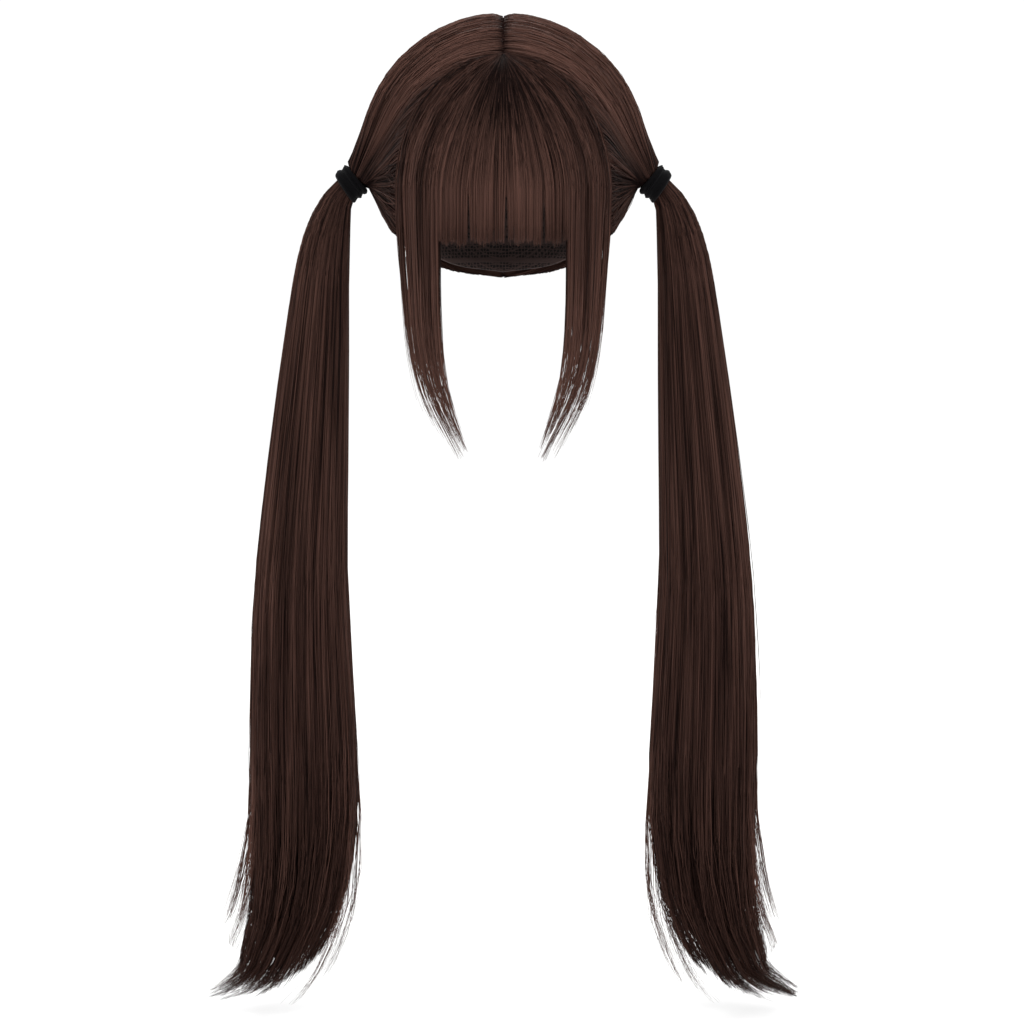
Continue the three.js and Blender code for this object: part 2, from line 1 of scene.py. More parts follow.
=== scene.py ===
"""A long pigtail wig in dark brown synthetic hair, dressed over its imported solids.

Every hair follows the form that the solids have: the swept hair runs from the centre parting and
the lower edge to a hair tie over each ear, a fan of hair falls as a straight cut fringe with a
longer lock at each side, and a tail hangs from each tie. Lengths are in metres and turns in
degrees. X is to the right as seen from the front, Y to the back and Z up, and the origin is the
top of the hollow that the head fills.
"""

import logging
import math
from collections.abc import Callable, Sequence
from dataclasses import dataclass
from enum import Enum
from functools import partial
from typing import NamedTuple

import bmesh
import bpy
import numpy as np
from mathutils import Matrix, Vector


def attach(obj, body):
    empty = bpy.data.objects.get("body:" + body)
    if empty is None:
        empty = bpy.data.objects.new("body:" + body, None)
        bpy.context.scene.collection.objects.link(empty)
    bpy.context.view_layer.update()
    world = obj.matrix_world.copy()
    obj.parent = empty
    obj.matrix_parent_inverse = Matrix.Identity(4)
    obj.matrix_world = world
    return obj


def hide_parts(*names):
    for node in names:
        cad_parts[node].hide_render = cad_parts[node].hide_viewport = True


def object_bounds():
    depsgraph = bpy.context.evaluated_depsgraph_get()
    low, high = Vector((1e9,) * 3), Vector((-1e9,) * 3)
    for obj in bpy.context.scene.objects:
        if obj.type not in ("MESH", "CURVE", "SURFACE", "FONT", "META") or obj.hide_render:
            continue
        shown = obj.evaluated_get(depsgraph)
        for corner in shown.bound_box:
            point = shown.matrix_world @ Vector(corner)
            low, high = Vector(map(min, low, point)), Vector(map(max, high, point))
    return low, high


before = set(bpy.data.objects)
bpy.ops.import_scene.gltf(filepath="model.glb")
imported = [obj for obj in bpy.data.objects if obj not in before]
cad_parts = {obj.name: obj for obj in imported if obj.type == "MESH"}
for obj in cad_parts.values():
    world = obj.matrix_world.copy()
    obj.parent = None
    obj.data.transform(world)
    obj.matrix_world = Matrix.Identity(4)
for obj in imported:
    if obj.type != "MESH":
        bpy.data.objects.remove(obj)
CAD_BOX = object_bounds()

LOG = logging.getLogger("wig")
BODY = "root"
Array = np.ndarray
Chance = np.random.Generator
HEIGHTS = np.array([0.0, 0.0, 1.0])
BACKWARDS = np.array([0.0, 1.0, 0.0])
TURN = 2 * math.pi
TINY = 1e-12  # keeps a division from failing
WAVES = 3.1  # how many bands a wave texture of scale 1 has to a metre
HAIR_SIDES = 3
HAIR_SPREAD = 0.25  # how much thinner or thicker than the middle a hair may be
TAPER_START = 0.75  # share of a hair's length at which it starts to taper
STEP_SHIFT = 0.35  # how far a hair's inner steps stray, as a share of a step
BORDER_SHIFT = 0.36  # how far the border of a lock strays, as a share of a lock
SHALLOWEST = 0.1  # of the valleys between locks, before they are raised to a power
VALLEY_POWER = 1.5


class Side(Enum):
    """The two sides of the wig as seen from the front, with the sign of their X."""

    RIGHT = 1
    LEFT = -1

    @property
    def word(self) -> str:
        """The side's word in the names of nodes and pieces."""
        return self.name.lower()


class Slot(Enum):
    """The material slots of the record."""

    HAIR = "hair"
    ELASTIC = "elastic"
    CAP_NET = "cap_net"


# Rows of sizes, read on a smooth curve


class EdgeRow(NamedTuple):
    """How far down the cap reaches at a turn from the front, as a share of its whole drop."""

    turn: float
    drop: float


class BulkRow(NamedTuple):
    """How much of its full bulk the crown hair has along the parting, front to nape."""

    along: float
    bulk: float


class LockRow(NamedTuple):
    """How far the inner and outer border of a side lock have come to the tips."""

    down: float
    inner: float
    outer: float


class TailRow(NamedTuple):
    """Place and half sizes of a tail's section, as shares, from its tie to its tips."""

    down: float
    out: float
    wide: float
    deep: float


class WispRow(NamedTuple):
    """A wisp that leaves the end of a tail: place, drift, end and how many hairs it has."""

    across: float
    depth: float
    drift: float
    leaves: float
    end: float
    hairs: int


CAP_EDGE = (
    EdgeRow(0, 0.33),
    EdgeRow(35, 0.4),
    EdgeRow(60, 0.58),
    EdgeRow(80, 0.71),
    EdgeRow(100, 0.76),
    EdgeRow(118, 0.85),
    EdgeRow(145, 0.96),
    EdgeRow(180, 1),
)
PARTING_BULK = (
    BulkRow(0, 0),
    BulkRow(0.12, 0.75),
    BulkRow(0.23, 1),
    BulkRow(0.45, 0.95),
    BulkRow(0.65, 0.6),
    BulkRow(0.85, 0.2),
    BulkRow(1, 0),
)
SIDE_LOCK_SECTIONS = (
    LockRow(0, 0, 0),
    LockRow(0.2, 0.03, 0.03),
    LockRow(0.4, 0.06, 0.11),
    LockRow(0.55, 0.15, 0.18),
    LockRow(0.69, 0.36, 0.29),
    LockRow(0.8, 0.7, 0.43),
    LockRow(0.9, 1.1, 0.65),
    LockRow(1, 1.45, 0.88),
)
TAIL_SECTIONS = (
    TailRow(0, 0, 0, 0),
    TailRow(0.014, 0.041, 0.1, 0.14),
    TailRow(0.04, 0.089, 0.225, 0.34),
    TailRow(0.085, 0.139, 0.345, 0.5),
    TailRow(0.185, 0.19, 0.5, 0.68),
    TailRow(0.334, 0.255, 0.68, 0.85),
    TailRow(0.484, 0.31, 0.82, 0.95),
    TailRow(0.634, 0.302, 0.965, 1),
    TailRow(0.75, 0.288, 1, 0.98),
    TailRow(0.81, 0.297, 0.92, 0.95),
    TailRow(0.875, 0.34, 0.81, 0.88),
    TailRow(0.917, 0.42, 0.69, 0.82),
    TailRow(0.947, 0.505, 0.63, 0.73),
    TailRow(0.971, 0.585, 0.51, 0.6),
    TailRow(0.989, 0.729, 0.3, 0.41),
    TailRow(1, 0.96, 0.15, 0.24),
)
WISPS = {
    Side.LEFT: (
        WispRow(0.93, 0.1, 0.5, 0.72, 0.94, 56),
        WispRow(0.9, -0.35, 0.28, 0.7, 0.93, 52),
        WispRow(0.86, 0.3, 0.3, 0.8, 0.975, 40),
        WispRow(-0.95, 0.1, -0.3, 0.68, 0.95, 24),
        WispRow(-0.88, -0.3, -0.2, 0.76, 0.975, 30),
    ),
    Side.RIGHT: (
        WispRow(0.93, 0.1, 0.4, 0.72, 0.935, 44),
        WispRow(0.88, -0.35, 0.25, 0.74, 0.95, 44),
        WispRow(0.84, 0.3, 0.28, 0.82, 0.98, 36),
        WispRow(-0.93, -0.1, -0.36, 0.7, 0.95, 40),
        WispRow(-0.86, 0.3, -0.22, 0.76, 0.975, 38),
    ),
}


def column(rows: Sequence[NamedTuple], name: str, at: Array) -> Array:
    """Reads a column of a table between its rows, on a smooth curve through them.

    Args:
        rows: The table, in the order of its first column.
        name: The column to read.
        at: Where to read it, in the first column's terms.

    Returns:
        The column's values there.
    """
    keys = np.array([row[0] for row in rows], dtype=float)
    values = np.array([getattr(row, name) for row in rows], dtype=float)
    order = np.arange(len(rows))
    low = np.maximum(order - 1, 0)
    high = np.minimum(order + 1, len(rows) - 1)
    slopes = (values[high] - values[low]) / (keys[high] - keys[low])
    row = np.clip(np.searchsorted(keys, at, side="right") - 1, 0, len(rows) - 2)
    span = keys[row + 1] - keys[row]
    share = np.clip((at - keys[row]) / span, 0, 1)
    rest = 1 - share
    start = (1 + 2 * share) * rest**2 * values[row] + share * rest**2 * span * slopes[row]
    end = share**2 * (3 - 2 * share) * values[row + 1] - share**2 * rest * span * slopes[row + 1]
    return start + end


def unit(vectors: Array) -> Array:
    """The same vectors with length one, along the last axis."""
    return vectors / np.maximum(np.linalg.norm(vectors, axis=-1, keepdims=True), TINY)


def ease(low: float, high: float, value: Array) -> Array:
    """0 below low, 1 above high and a soft step between them."""
    share = np.clip((value - low) / (high - low), 0, 1)
    return share * share * (3 - 2 * share)


def blend(start: Array, end: Array, share: Array) -> Array:
    """What lies at a share of the way from start to end."""
    return start + (end - start) * share


# Forms round the head


@dataclass(frozen=True)
class Form:
    """An egg round the head. Its centre and radii may differ from point to point."""

    centre: Array
    radii: Array

    def reach(self, points: Array) -> Array:
        """How far out points lie, where 1 is on the form."""
        return np.linalg.norm((points - self.centre) / self.radii, axis=-1, keepdims=True)

    def outwards(self, points: Array) -> Array:
        """The direction out of the form at points."""
        return unit((points - self.centre) / self.radii**2)

    def pushed(self, points: Array, wanted: Array) -> Array:
        """Points moved from the centre until they lie as far out as wanted."""
        return (points - self.centre) * (wanted / self.reach(points)) + self.centre

    def at(self, turn: Array, tilt: Array) -> Array:
        """Points of the form at turns from the front and tilts from the top, in radians.

        Args:
            turn: Turns from the front towards +X.
            tilt: Tilts from the top.

        Returns:
            The points.
        """
        level = np.sin(tilt)
        course = np.stack(
            np.broadcast_arrays(level * np.sin(turn), -level * np.cos(turn), np.cos(tilt)), axis=-1
        )
        return course * self.radii + self.centre

    def tilt(self, height: Array) -> Array:
        """The tilt at which the form has a height."""
        return np.arccos(np.clip((height - self.centre[2]) / self.radii[2], -1, 1))


@dataclass(frozen=True)
class Head:
    """The head that the cap is made for, and the cap's edge on it."""

    half_width: float = 0.074
    half_depth: float = 0.093
    half_height: float = 0.105
    cap_below: float = 0.061

    def form(self, lift: float) -> Form:
        """The head's egg grown on all sides by a lift."""
        radii = np.array([self.half_width, self.half_depth, self.half_height]) + lift
        return Form(-HEIGHTS * self.half_height, radii)

    def edge_drop(self, turn: Array) -> Array:
        """How far the cap's edge lies under the top of the hollow, at turns in degrees."""
        share = column(CAP_EDGE, "drop", np.minimum(turn, 360 - turn))
        return (self.half_height + self.cap_below) * share


HEAD = Head()


# Finishes


def linear(code: str) -> tuple[float, float, float, float]:
    """Turns an sRGB hex colour to a linear one.

    Args:
        code: The colour, such as #3a2723.

    Returns:
        Red, green, blue and an alpha of 1.
    """
    shares = [int(code[i : i + 2], 16) / 255 for i in (1, 3, 5)]
    red, green, blue = [s / 12.92 if s <= 0.04045 else ((s + 0.055) / 1.055) ** 2.4 for s in shares]
    return red, green, blue, 1.0


def add_node(
    tree: bpy.types.NodeTree, kind: str, settings: dict[str, object], inputs: dict[str | int, object]
) -> bpy.types.Node:
    """Adds a node with its settings, values and links.

    Args:
        tree: The tree that the node is added to.
        kind: The node's type.
        settings: The node's own properties.
        inputs: A value or another node's output for each input that is set.

    Returns:
        The node.
    """
    node = tree.nodes.new(kind)
    for name, value in settings.items():
        setattr(node, name, value)
    for name, value in inputs.items():
        if isinstance(value, bpy.types.NodeSocket):
            tree.links.new(value, node.inputs[name])
        else:
            node.inputs[name].default_value = value
    return node


class Relief(NamedTuple):
    """A fine relief: what its height follows, how strongly, and how deep it is."""

    height: bpy.types.NodeSocket
    strength: float
    depth_mm: float


class Finish:
    """What all finishes share. Each kind works out its own patterns."""

    name: str

    def material(self) -> bpy.types.Material:
        """Builds the material from the finish's own nodes."""
        material = bpy.data.materials.new(self.name)
        material.use_nodes = True
        tree = material.node_tree
        tree.nodes.clear()
        shader = self.shader(tree)
        add_node(tree, "ShaderNodeOutputMaterial", {}, {"Surface": shader.outputs[0]})
        return material

    def shader(self, tree: bpy.types.NodeTree) -> bpy.types.Node:
        """Adds the finish's own nodes, the last of which is the shader."""
        raise NotImplementedError

    def surface(
        self,
        tree: bpy.types.NodeTree,
        share: bpy.types.NodeSocket,
        colours: tuple[str, str],
        gloss: dict[str, object],
        relief: Relief | None = None,
    ) -> bpy.types.Node:
        """Adds a surface whose colour runs from one to another.

        Args:
            tree: The material's tree.
            share: Where it is between the two colours.
            colours: The colours, as sRGB codes.
            gloss: The shader's other inputs.
            relief: Its fine relief.

        Returns:
            The shader.
        """
        low, high = (linear(code) for code in colours)
        dye = add_node(tree, "ShaderNodeMix", {"data_type": "RGBA"}, {0: share, 6: low, 7: high})
        inputs = {"Base Color": dye.outputs[2]} | gloss
        if relief:
            height, strength, depth_mm = relief
            bump = {"Height": height, "Strength": strength, "Distance": depth_mm / 1000}
            inputs["Normal"] = add_node(tree, "ShaderNodeBump", {}, bump).outputs[0]
        return add_node(tree, "ShaderNodeBsdfPrincipled", {}, inputs)


@dataclass(frozen=True)
class SyntheticHair(Finish):
    """Heat resistant modacrylic fibre, melt spun and straight: satin, a warm dark brown.

    The fibres are 0.08 mm thick, which is too fine to show, so each modelled hair stands for a few.
    The eye sees fine lines and soft bands that run with the hair, because neighbouring fibres take
    the light apart and their dye differs a little.
    """

    name: str = "heat_resistant_fibre"
    dark: str = "#130b0a"
    light: str = "#5d423a"
    roughness: float = 0.45
    roughness_shift: float = 0.06
    specular: float = 0.05
    ior: float = 1.53
    glint: str = "#d9b7a8"  # the sheen takes some of the dye
    line_mm: float = 0.9  # drawn coarser than the fibres, so that the lines show
    line_length_mm: float = 130.0
    lines: float = 0.42
    band_mm: float = 6.0  # a few hundred fibres that lie together
    band_length_mm: float = 260.0
    bands: float = 0.25
    relief_mm: float = 0.3
    relief_strength: float = 0.6
    noise_range: tuple[float, float] = (0.25, 0.75)  # where most of a pattern's height lies

    def shader(self, tree: bpy.types.NodeTree) -> bpy.types.Node:
        """Adds the hair's nodes, which read its attributes course and tone.

        Args:
            tree: The material's tree.

        Returns:
            The shader.
        """
        lines = self.pattern(tree, self.line_mm, self.line_length_mm)
        bands = self.pattern(tree, self.band_mm, self.band_length_mm)
        tone = add_node(tree, "ShaderNodeAttribute", {"attribute_name": "tone"}, {})
        share = tone.outputs["Fac"]
        low, high = self.noise_range
        for pattern, size in ((lines, self.lines), (bands, self.bands)):
            inputs = {"Value": pattern, 1: low, 2: high, 3: -size, 4: size}
            shift = add_node(tree, "ShaderNodeMapRange", {}, inputs)
            inputs = {0: share, 1: shift.outputs[0]}
            share = add_node(tree, "ShaderNodeMath", {"operation": "ADD"}, inputs).outputs[0]
        smooth, rough = self.roughness - self.roughness_shift, self.roughness + self.roughness_shift
        gloss = add_node(tree, "ShaderNodeMapRange", {}, {"Value": bands, 3: smooth, 4: rough})
        inputs = {
            "Roughness": gloss.outputs[0],
            "Specular IOR Level": self.specular,
            "Specular Tint": linear(self.glint),
            "IOR": self.ior,
        }
        relief = Relief(lines, self.relief_strength, self.relief_mm)
        return self.surface(tree, share, (self.dark, self.light), inputs, relief)

    def pattern(
        self, tree: bpy.types.NodeTree, across_mm: float, along_mm: float
    ) -> bpy.types.NodeSocket:
        """Adds streaks that run with the hair.

        Args:
            tree: The material's tree.
            across_mm: Their width.
            along_mm: Their length.

        Returns:
            Their height from 0 to 1.
        """
        course = add_node(tree, "ShaderNodeAttribute", {"attribute_name": "course"}, {})
        scale = (1000 / across_mm, 1000 / across_mm, 1000 / along_mm)
        inputs = {0: course.outputs["Vector"], 1: scale}
        place = add_node(tree, "ShaderNodeVectorMath", {"operation": "MULTIPLY"}, inputs)
        inputs = {"Vector": place.outputs[0], "Scale": 1.0, "Detail": 2.0, "Roughness": 0.55}
        return add_node(tree, "ShaderNodeTexNoise", {}, inputs).outputs["Fac"]


class HairFinishes(NamedTuple):
    """The hair's finish at its surface and that of the mass of hair under it."""

    surface: bpy.types.Material
    under: bpy.types.Material


@dataclass(frozen=True)
class KnittedElastic(Finish):
    """Polyester knitted over rubber: near black and matt, with fine ribs round the cord."""

    name: str = "knitted_elastic"
    dark: str = "#020203"
    light: str = "#0e0c0e"
    roughness: float = 0.85
    rib_mm: float = 0.9  # real ribs of 0.4 mm are too fine to show
    rib_turn: float = 28
    fuzz_per_metre: float = 1400.0
    relief_mm: float = 0.14
    relief_strength: float = 0.8

    def shader(self, tree: bpy.types.NodeTree) -> bpy.types.Node:
        """Adds the elastic's nodes, whose ribs follow the cord's own UV map in metres.

        Args:
            tree: The material's tree.

        Returns:
            The shader.
        """
        place = add_node(tree, "ShaderNodeTexCoord", {}, {})
        turn = (0.0, 0.0, math.radians(self.rib_turn))
        inputs = {"Vector": place.outputs["UV"], "Rotation": turn}
        course = add_node(tree, "ShaderNodeMapping", {}, inputs)
        scale = 1000 / self.rib_mm / WAVES
        inputs = {"Vector": course.outputs[0], "Scale": scale, "Distortion": 1.5}
        bands = {"wave_type": "BANDS", "bands_direction": "X"}
        ribs = add_node(tree, "ShaderNodeTexWave", bands, inputs)
        inputs = {"Vector": place.outputs["Object"], "Scale": self.fuzz_per_metre, "Detail": 4.0}
        fuzz = add_node(tree, "ShaderNodeTexNoise", {}, inputs)
        inputs = {0: ribs.outputs["Fac"], 1: fuzz.outputs["Fac"]}
        height = add_node(tree, "ShaderNodeMath", {"operation": "MULTIPLY"}, inputs).outputs[0]
        inputs = {
            "Roughness": self.roughness,
            "Specular IOR Level": 0.06,
            "Sheen Weight": 0.03,
            "Sheen Roughness": 0.5,
        }
        relief = Relief(height, self.relief_strength, self.relief_mm)
        # the colour follows the relief: painted shade in the grooves between the ribs, and fuzz that
        # differs at random
        return self.surface(tree, height, (self.dark, self.light), inputs, relief)


@dataclass(frozen=True)
class StretchNet(Finish):
    """Nylon net, warp knitted, with machine-sewn rows of hair: a matt mesh in dark brown."""

    name: str = "stretch_net"
    thread: str = "#3b2d2a"
    gap: str = "#120c0b"
    mesh_mm: float = 2.2  # real meshes of 1.2 mm are too fine to show
    weft_mm: float = 13.0  # from one sewn row of hair to the next
    relief_mm: float = 0.35
    relief_strength: float = 0.9
    thread_edge: tuple[float, float] = (0.08, 0.2)  # from a thread's middle to a mesh
    weft_edge: tuple[float, float] = (0.72, 0.9)  # of the wave's height

    def shader(self, tree: bpy.types.NodeTree) -> bpy.types.Node:
        """Adds the net's nodes, with its meshes and sewn rows on Object coordinates.

        Args:
            tree: The material's tree.

        Returns:
            The shader.
        """
        place = add_node(tree, "ShaderNodeTexCoord", {}, {}).outputs["Object"]
        inputs = {"Vector": place, "Scale": 1000 / self.mesh_mm, "Randomness": 0.25}
        meshes = add_node(tree, "ShaderNodeTexVoronoi", {"feature": "DISTANCE_TO_EDGE"}, inputs)
        low, high = self.thread_edge
        inputs = {"Value": meshes.outputs["Distance"], 1: low, 2: high, 3: 1.0, 4: 0.0}
        threads = add_node(tree, "ShaderNodeMapRange", {}, inputs)
        inputs = {"Vector": place, "Scale": 1000 / self.weft_mm / WAVES, "Distortion": 0.4}
        bands = {"wave_type": "BANDS", "bands_direction": "Z"}
        rows = add_node(tree, "ShaderNodeTexWave", bands, inputs)
        low, high = self.weft_edge
        inputs = {"Value": rows.outputs["Fac"], 1: low, 2: high}
        weft = add_node(tree, "ShaderNodeMapRange", {}, inputs)
        inputs = {0: threads.outputs[0], 1: weft.outputs[0]}
        height = add_node(tree, "ShaderNodeMath", {"operation": "MAXIMUM"}, inputs).outputs[0]
        relief = Relief(height, self.relief_strength, self.relief_mm)
        inputs = {"Roughness": 0.9, "Specular IOR Level": 0.3}
        return self.surface(tree, height, (self.gap, self.thread), inputs, relief)


@dataclass(frozen=True)
class StudioFloor(Finish):
    """Matt white paint, rolled on: no gloss, and a barely uneven white."""

    name: str = "white_floor_paint"
    dark: str = "#f9f9f9"
    light: str = "#fdfdfd"
    patch_mm: float = 400.0

    def shader(self, tree: bpy.types.NodeTree) -> bpy.types.Node:
        """Adds the paint's nodes.

        Args:
            tree: The material's tree.

        Returns:
            The shader.
        """
        place = add_node(tree, "ShaderNodeTexCoord", {}, {}).outputs["Object"]
        inputs = {"Vector": place, "Scale": 1000 / self.patch_mm}
        patches = add_node(tree, "ShaderNodeTexNoise", {}, inputs).outputs["Fac"]
        inputs = {"Roughness": 0.9, "Specular IOR Level": 0.2}
        return self.surface(tree, patches, (self.dark, self.light), inputs)


# Meshes


@dataclass(frozen=True)
class Strands:
    """Courses of hairs, each a thin closed tube with three sides.

    A hair is about three times as thick as the real fibre, so that it shows, and its sides melt
    into one round when they are shaded.
    """

    points: Array  # hair, step, place
    out: Array  # direction out of the mass of hair, as points
    radii: Array  # hair, step
    tones: Array  # hair, step, from 0 for dark to 1 for light
    across: Array  # hair, and two lengths that say where it lies in the mass of hair

    def mirrored(self, side: Side) -> "Strands":
        """The same hairs on one side of the wig."""
        flip = np.array([side.value, 1.0, 1.0])
        return Strands(self.points * flip, self.out * flip, self.radii, self.tones, self.across)

    def courses(self) -> Array:
        """Where each step lies in the mass of hair: two lengths across it and one along it."""
        steps = np.linalg.norm(np.diff(self.points, axis=1), axis=-1)
        along = np.concatenate([np.zeros((len(steps), 1)), np.cumsum(steps, axis=1)], axis=1)
        across = np.broadcast_to(self.across[:, None], (*along.shape, 2))
        return np.concatenate([across, along[..., None]], axis=-1)

    def corners(self, rng: Chance) -> Array:
        """Works out the corners of the tubes.

        Args:
            rng: Turns each tube about itself.

        Returns:
            Corners by hair, step and side.
        """
        course = unit(np.gradient(self.points, axis=1))
        across = unit(np.cross(course, self.out))
        up = np.cross(course, across)
        start = rng.uniform(0, TURN, (len(self.points), 1, 1))
        turns = (start + np.arange(HAIR_SIDES) * TURN / HAIR_SIDES)[..., None]
        round_it = np.cos(turns) * across[:, :, None] + np.sin(turns) * up[:, :, None]
        return self.points[:, :, None] + self.radii[:, :, None, None] * round_it


def strand_piece(name: str, bundles: Sequence[Strands], rng: Chance) -> bpy.types.Object:
    """Joins bundles of hairs into the mesh of one piece.

    Args:
        name: The piece's name.
        bundles: The hairs, in bundles that each have their own number of steps.
        rng: Turns each hair about itself.

    Returns:
        The piece, with the attributes course and tone.
    """
    places, quads, ends, tones, courses = [], [], [], [], []
    first = 0
    for bundle in bundles:
        corners = bundle.corners(rng)
        hairs, steps, sides = corners.shape[:3]
        index = np.arange(hairs * steps * sides).reshape(hairs, steps, sides) + first
        ahead = np.roll(index, -1, axis=2)
        faces = np.stack([index[:, :-1], ahead[:, :-1], ahead[:, 1:], index[:, 1:]], axis=-1)
        quads.append(faces.reshape(-1, 4))
        ends.append(np.concatenate([index[:, 0, ::-1], index[:, -1]]))
        places.append(corners.reshape(-1, 3))
        tones.append(np.repeat(bundle.tones.ravel(), sides))
        courses.append(np.repeat(bundle.courses().reshape(-1, 3), sides, axis=0))
        first += index.size
    quad, end = np.concatenate(quads), np.concatenate(ends)
    mesh = bpy.data.meshes.new(name)
    mesh.vertices.add(first)
    mesh.vertices.foreach_set("co", np.concatenate(places).astype(np.float32).ravel())
    mesh.loops.add(quad.size + end.size)
    mesh.loops.foreach_set("vertex_index", np.concatenate([quad.ravel(), end.ravel()]).astype(np.int32))
    starts = np.concatenate([np.arange(len(quad)) * 4, quad.size + np.arange(len(end)) * HAIR_SIDES])
    mesh.polygons.add(len(starts))
    mesh.polygons.foreach_set("loop_start", starts.astype(np.int32))
    mesh.polygons.foreach_set("use_smooth", np.ones(len(starts), dtype=bool))
    mesh.update(calc_edges=True)
    tone = mesh.attributes.new("tone", "FLOAT", "POINT")
    tone.data.foreach_set("value", np.concatenate(tones).astype(np.float32))
    course = mesh.attributes.new("course", "FLOAT_VECTOR", "POINT")
    course.data.foreach_set("vector", np.concatenate(courses).astype(np.float32).ravel())
    return bpy.data.objects.new(name, mesh)


class Laid(NamedTuple):
    """Points of a surface of hair, with its course and its tone there."""

    points: Array
    course: Array
    tones: Array

    def mirrored(self, side: Side) -> "Laid":
        """The same points on one side of the wig."""
        return Laid(self.points * np.array([side.value, 1, 1]), self.course, self.tones)


def shell_piece(
    name: str, size: tuple[int, int], lay: Callable[[Array, Array], Laid], wall: float
) -> bpy.types.Object:
    """Bends a grid into a shell round the head or, with no wall, a closed body.

    Args:
        name: The piece's name.
        size: How many faces the grid has across and along.
        lay: Gives the points from their two shares of the grid.
        wall: The shell's wall, which grows inwards, or 0 for a closed body.

    Returns:
        The piece, with the attributes course and tone.
    """
    bm = bmesh.new()
    course_layer = bm.verts.layers.float_vector.new("course")
    tone_layer = bm.verts.layers.float.new("tone")
    bmesh.ops.create_grid(bm, x_segments=size[0], y_segments=size[1], size=0.5)
    shares = np.array([vert.co[:2] for vert in bm.verts]) + 0.5
    laid = lay(shares[:, 0], shares[:, 1])
    for vert, point, course, tone in zip(bm.verts, laid.points, laid.course, laid.tones):
        vert.co = point
        vert[course_layer] = course
        vert[tone_layer] = tone
    bmesh.ops.remove_doubles(bm, verts=bm.verts, dist=1e-6)
    bmesh.ops.recalc_face_normals(bm, faces=bm.faces)
    if wall:
        middle = Vector(HEAD.form(0).centre)
        facing = sum((f.calc_center_median() - middle).dot(f.normal) * f.calc_area() for f in bm.faces)
        if facing < 0:
            bmesh.ops.reverse_faces(bm, faces=bm.faces)
        bmesh.ops.solidify(bm, geom=bm.faces, thickness=wall)
    for face in bm.faces:
        face.smooth = True
    mesh = bpy.data.meshes.new(name)
    bm.to_mesh(mesh)
    bm.free()
    return bpy.data.objects.new(name, mesh)


def dress(
    piece: bpy.types.Object, material: bpy.types.Material, slot: Slot, *nodes: str
) -> bpy.types.Object:
    """Puts a finished piece on the wig in place of its solids.

    Args:
        piece: The piece, with its place in its mesh.
        material: Its finish.
        slot: The record's slot that the finish belongs to, which is not used.
        nodes: The solids that it stands for.

    Returns:
        The piece.
    """
    bpy.context.scene.collection.objects.link(piece)
    piece.data.materials.append(material)
    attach(piece, BODY)
    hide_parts(*nodes)
    triangles = sum(len(face.vertices) - 2 for face in piece.data.polygons)
    LOG.info("%s stands for %s, %d triangles", piece.name, ", ".join(nodes), triangles)
    return piece


@dataclass(frozen=True)
class Locks:
    """Locks of hair side by side, with a valley at each border between two."""

    borders: Array
    depths: Array  # of the valleys, from 0 to 1
    width: float  # of a valley

    @classmethod
    def across(
        cls, rng: Chance, low: float, high: float, count: int, width: float
    ) -> "Locks":
        """Lays uneven locks from one place to another.

        Args:
            rng: The source of chance.
            low: The lower end, in the piece's own terms for places across it.
            high: The higher end.
            count: How many locks there are.
            width: The width of a valley.

        Returns:
            The locks.
        """
        step = (high - low) / count
        shift = rng.uniform(-BORDER_SHIFT, BORDER_SHIFT, count + 1) * step
        depths = rng.uniform(SHALLOWEST, 1, count + 1) ** VALLEY_POWER
        return cls(np.linspace(low, high, count + 1) + shift, depths, width)

    @classmethod
    def around(cls, rng: Chance, count: int, width: float) -> "Locks":
        """Lays uneven locks all round a body, whose places are shares of a turn."""
        ring = cls.across(rng, 0, 1, count, width)
        borders, depths = ring.borders[:-1], ring.depths[:-1]
        return cls(np.concatenate([borders - 1, borders, borders + 1]), np.tile(depths, 3), width)

    def index(self, place: Array) -> Array:
        """The number of the lock at each place."""
        return np.clip(np.searchsorted(self.borders, place) - 1, 0, len(self.borders) - 2)

    def middle(self, place: Array) -> Array:
        """The middle of the lock at each place."""
        lock = self.index(place)
        return (self.borders[lock] + self.borders[lock + 1]) / 2

    def valley(self, place: Array) -> Array:
        """How deep in a valley each place is: 0 on the back of a lock and 1 in the deepest."""
        lock = self.index(place)
        low = self.depths[lock] * np.exp(-(((place - self.borders[lock]) / self.width) ** 2))
        high = self.depths[lock + 1] * np.exp(-(((self.borders[lock + 1] - place) / self.width) ** 2))
        return np.maximum(low, high)


def beside(across: Array) -> Array:
    """Places across the mass of hair for hairs that lie side by side."""
    return np.stack([across, 0 * across], axis=-1)


def level_course(across: Array, along: Array) -> Array:
    """The course of a surface of such hair, from lengths across and along it."""
    return np.concatenate([beside(across), along[..., None]], axis=-1)


def over_and_down(way: Array, on_head: float) -> tuple[Array, Array]:
    """Shares of the way over the head and of the hang below it.

    Args:
        way: Shares of the whole way.
        on_head: The share of the way that lies on the head.

    Returns:
        The two shares.
    """
    return np.clip(way / on_head, 0, 1), np.clip((way - on_head) / (1 - on_head), 0, 1)


def steps_along(rng: Chance, hairs: int, steps: int) -> Array:
    """Shares of the way along hairs, with inner steps moved a little so that no bends line up.

    Args:
        rng: The source of chance.
        hairs: How many hairs there are.
        steps: How many points each has.

    Returns:
        Shares by hair and step.
    """
    shares = np.tile(np.linspace(0, 1, steps), (hairs, 1))
    shares[:, 1:-1] += rng.uniform(-STEP_SHIFT, STEP_SHIFT, (hairs, steps - 2)) / (steps - 1)
    return shares


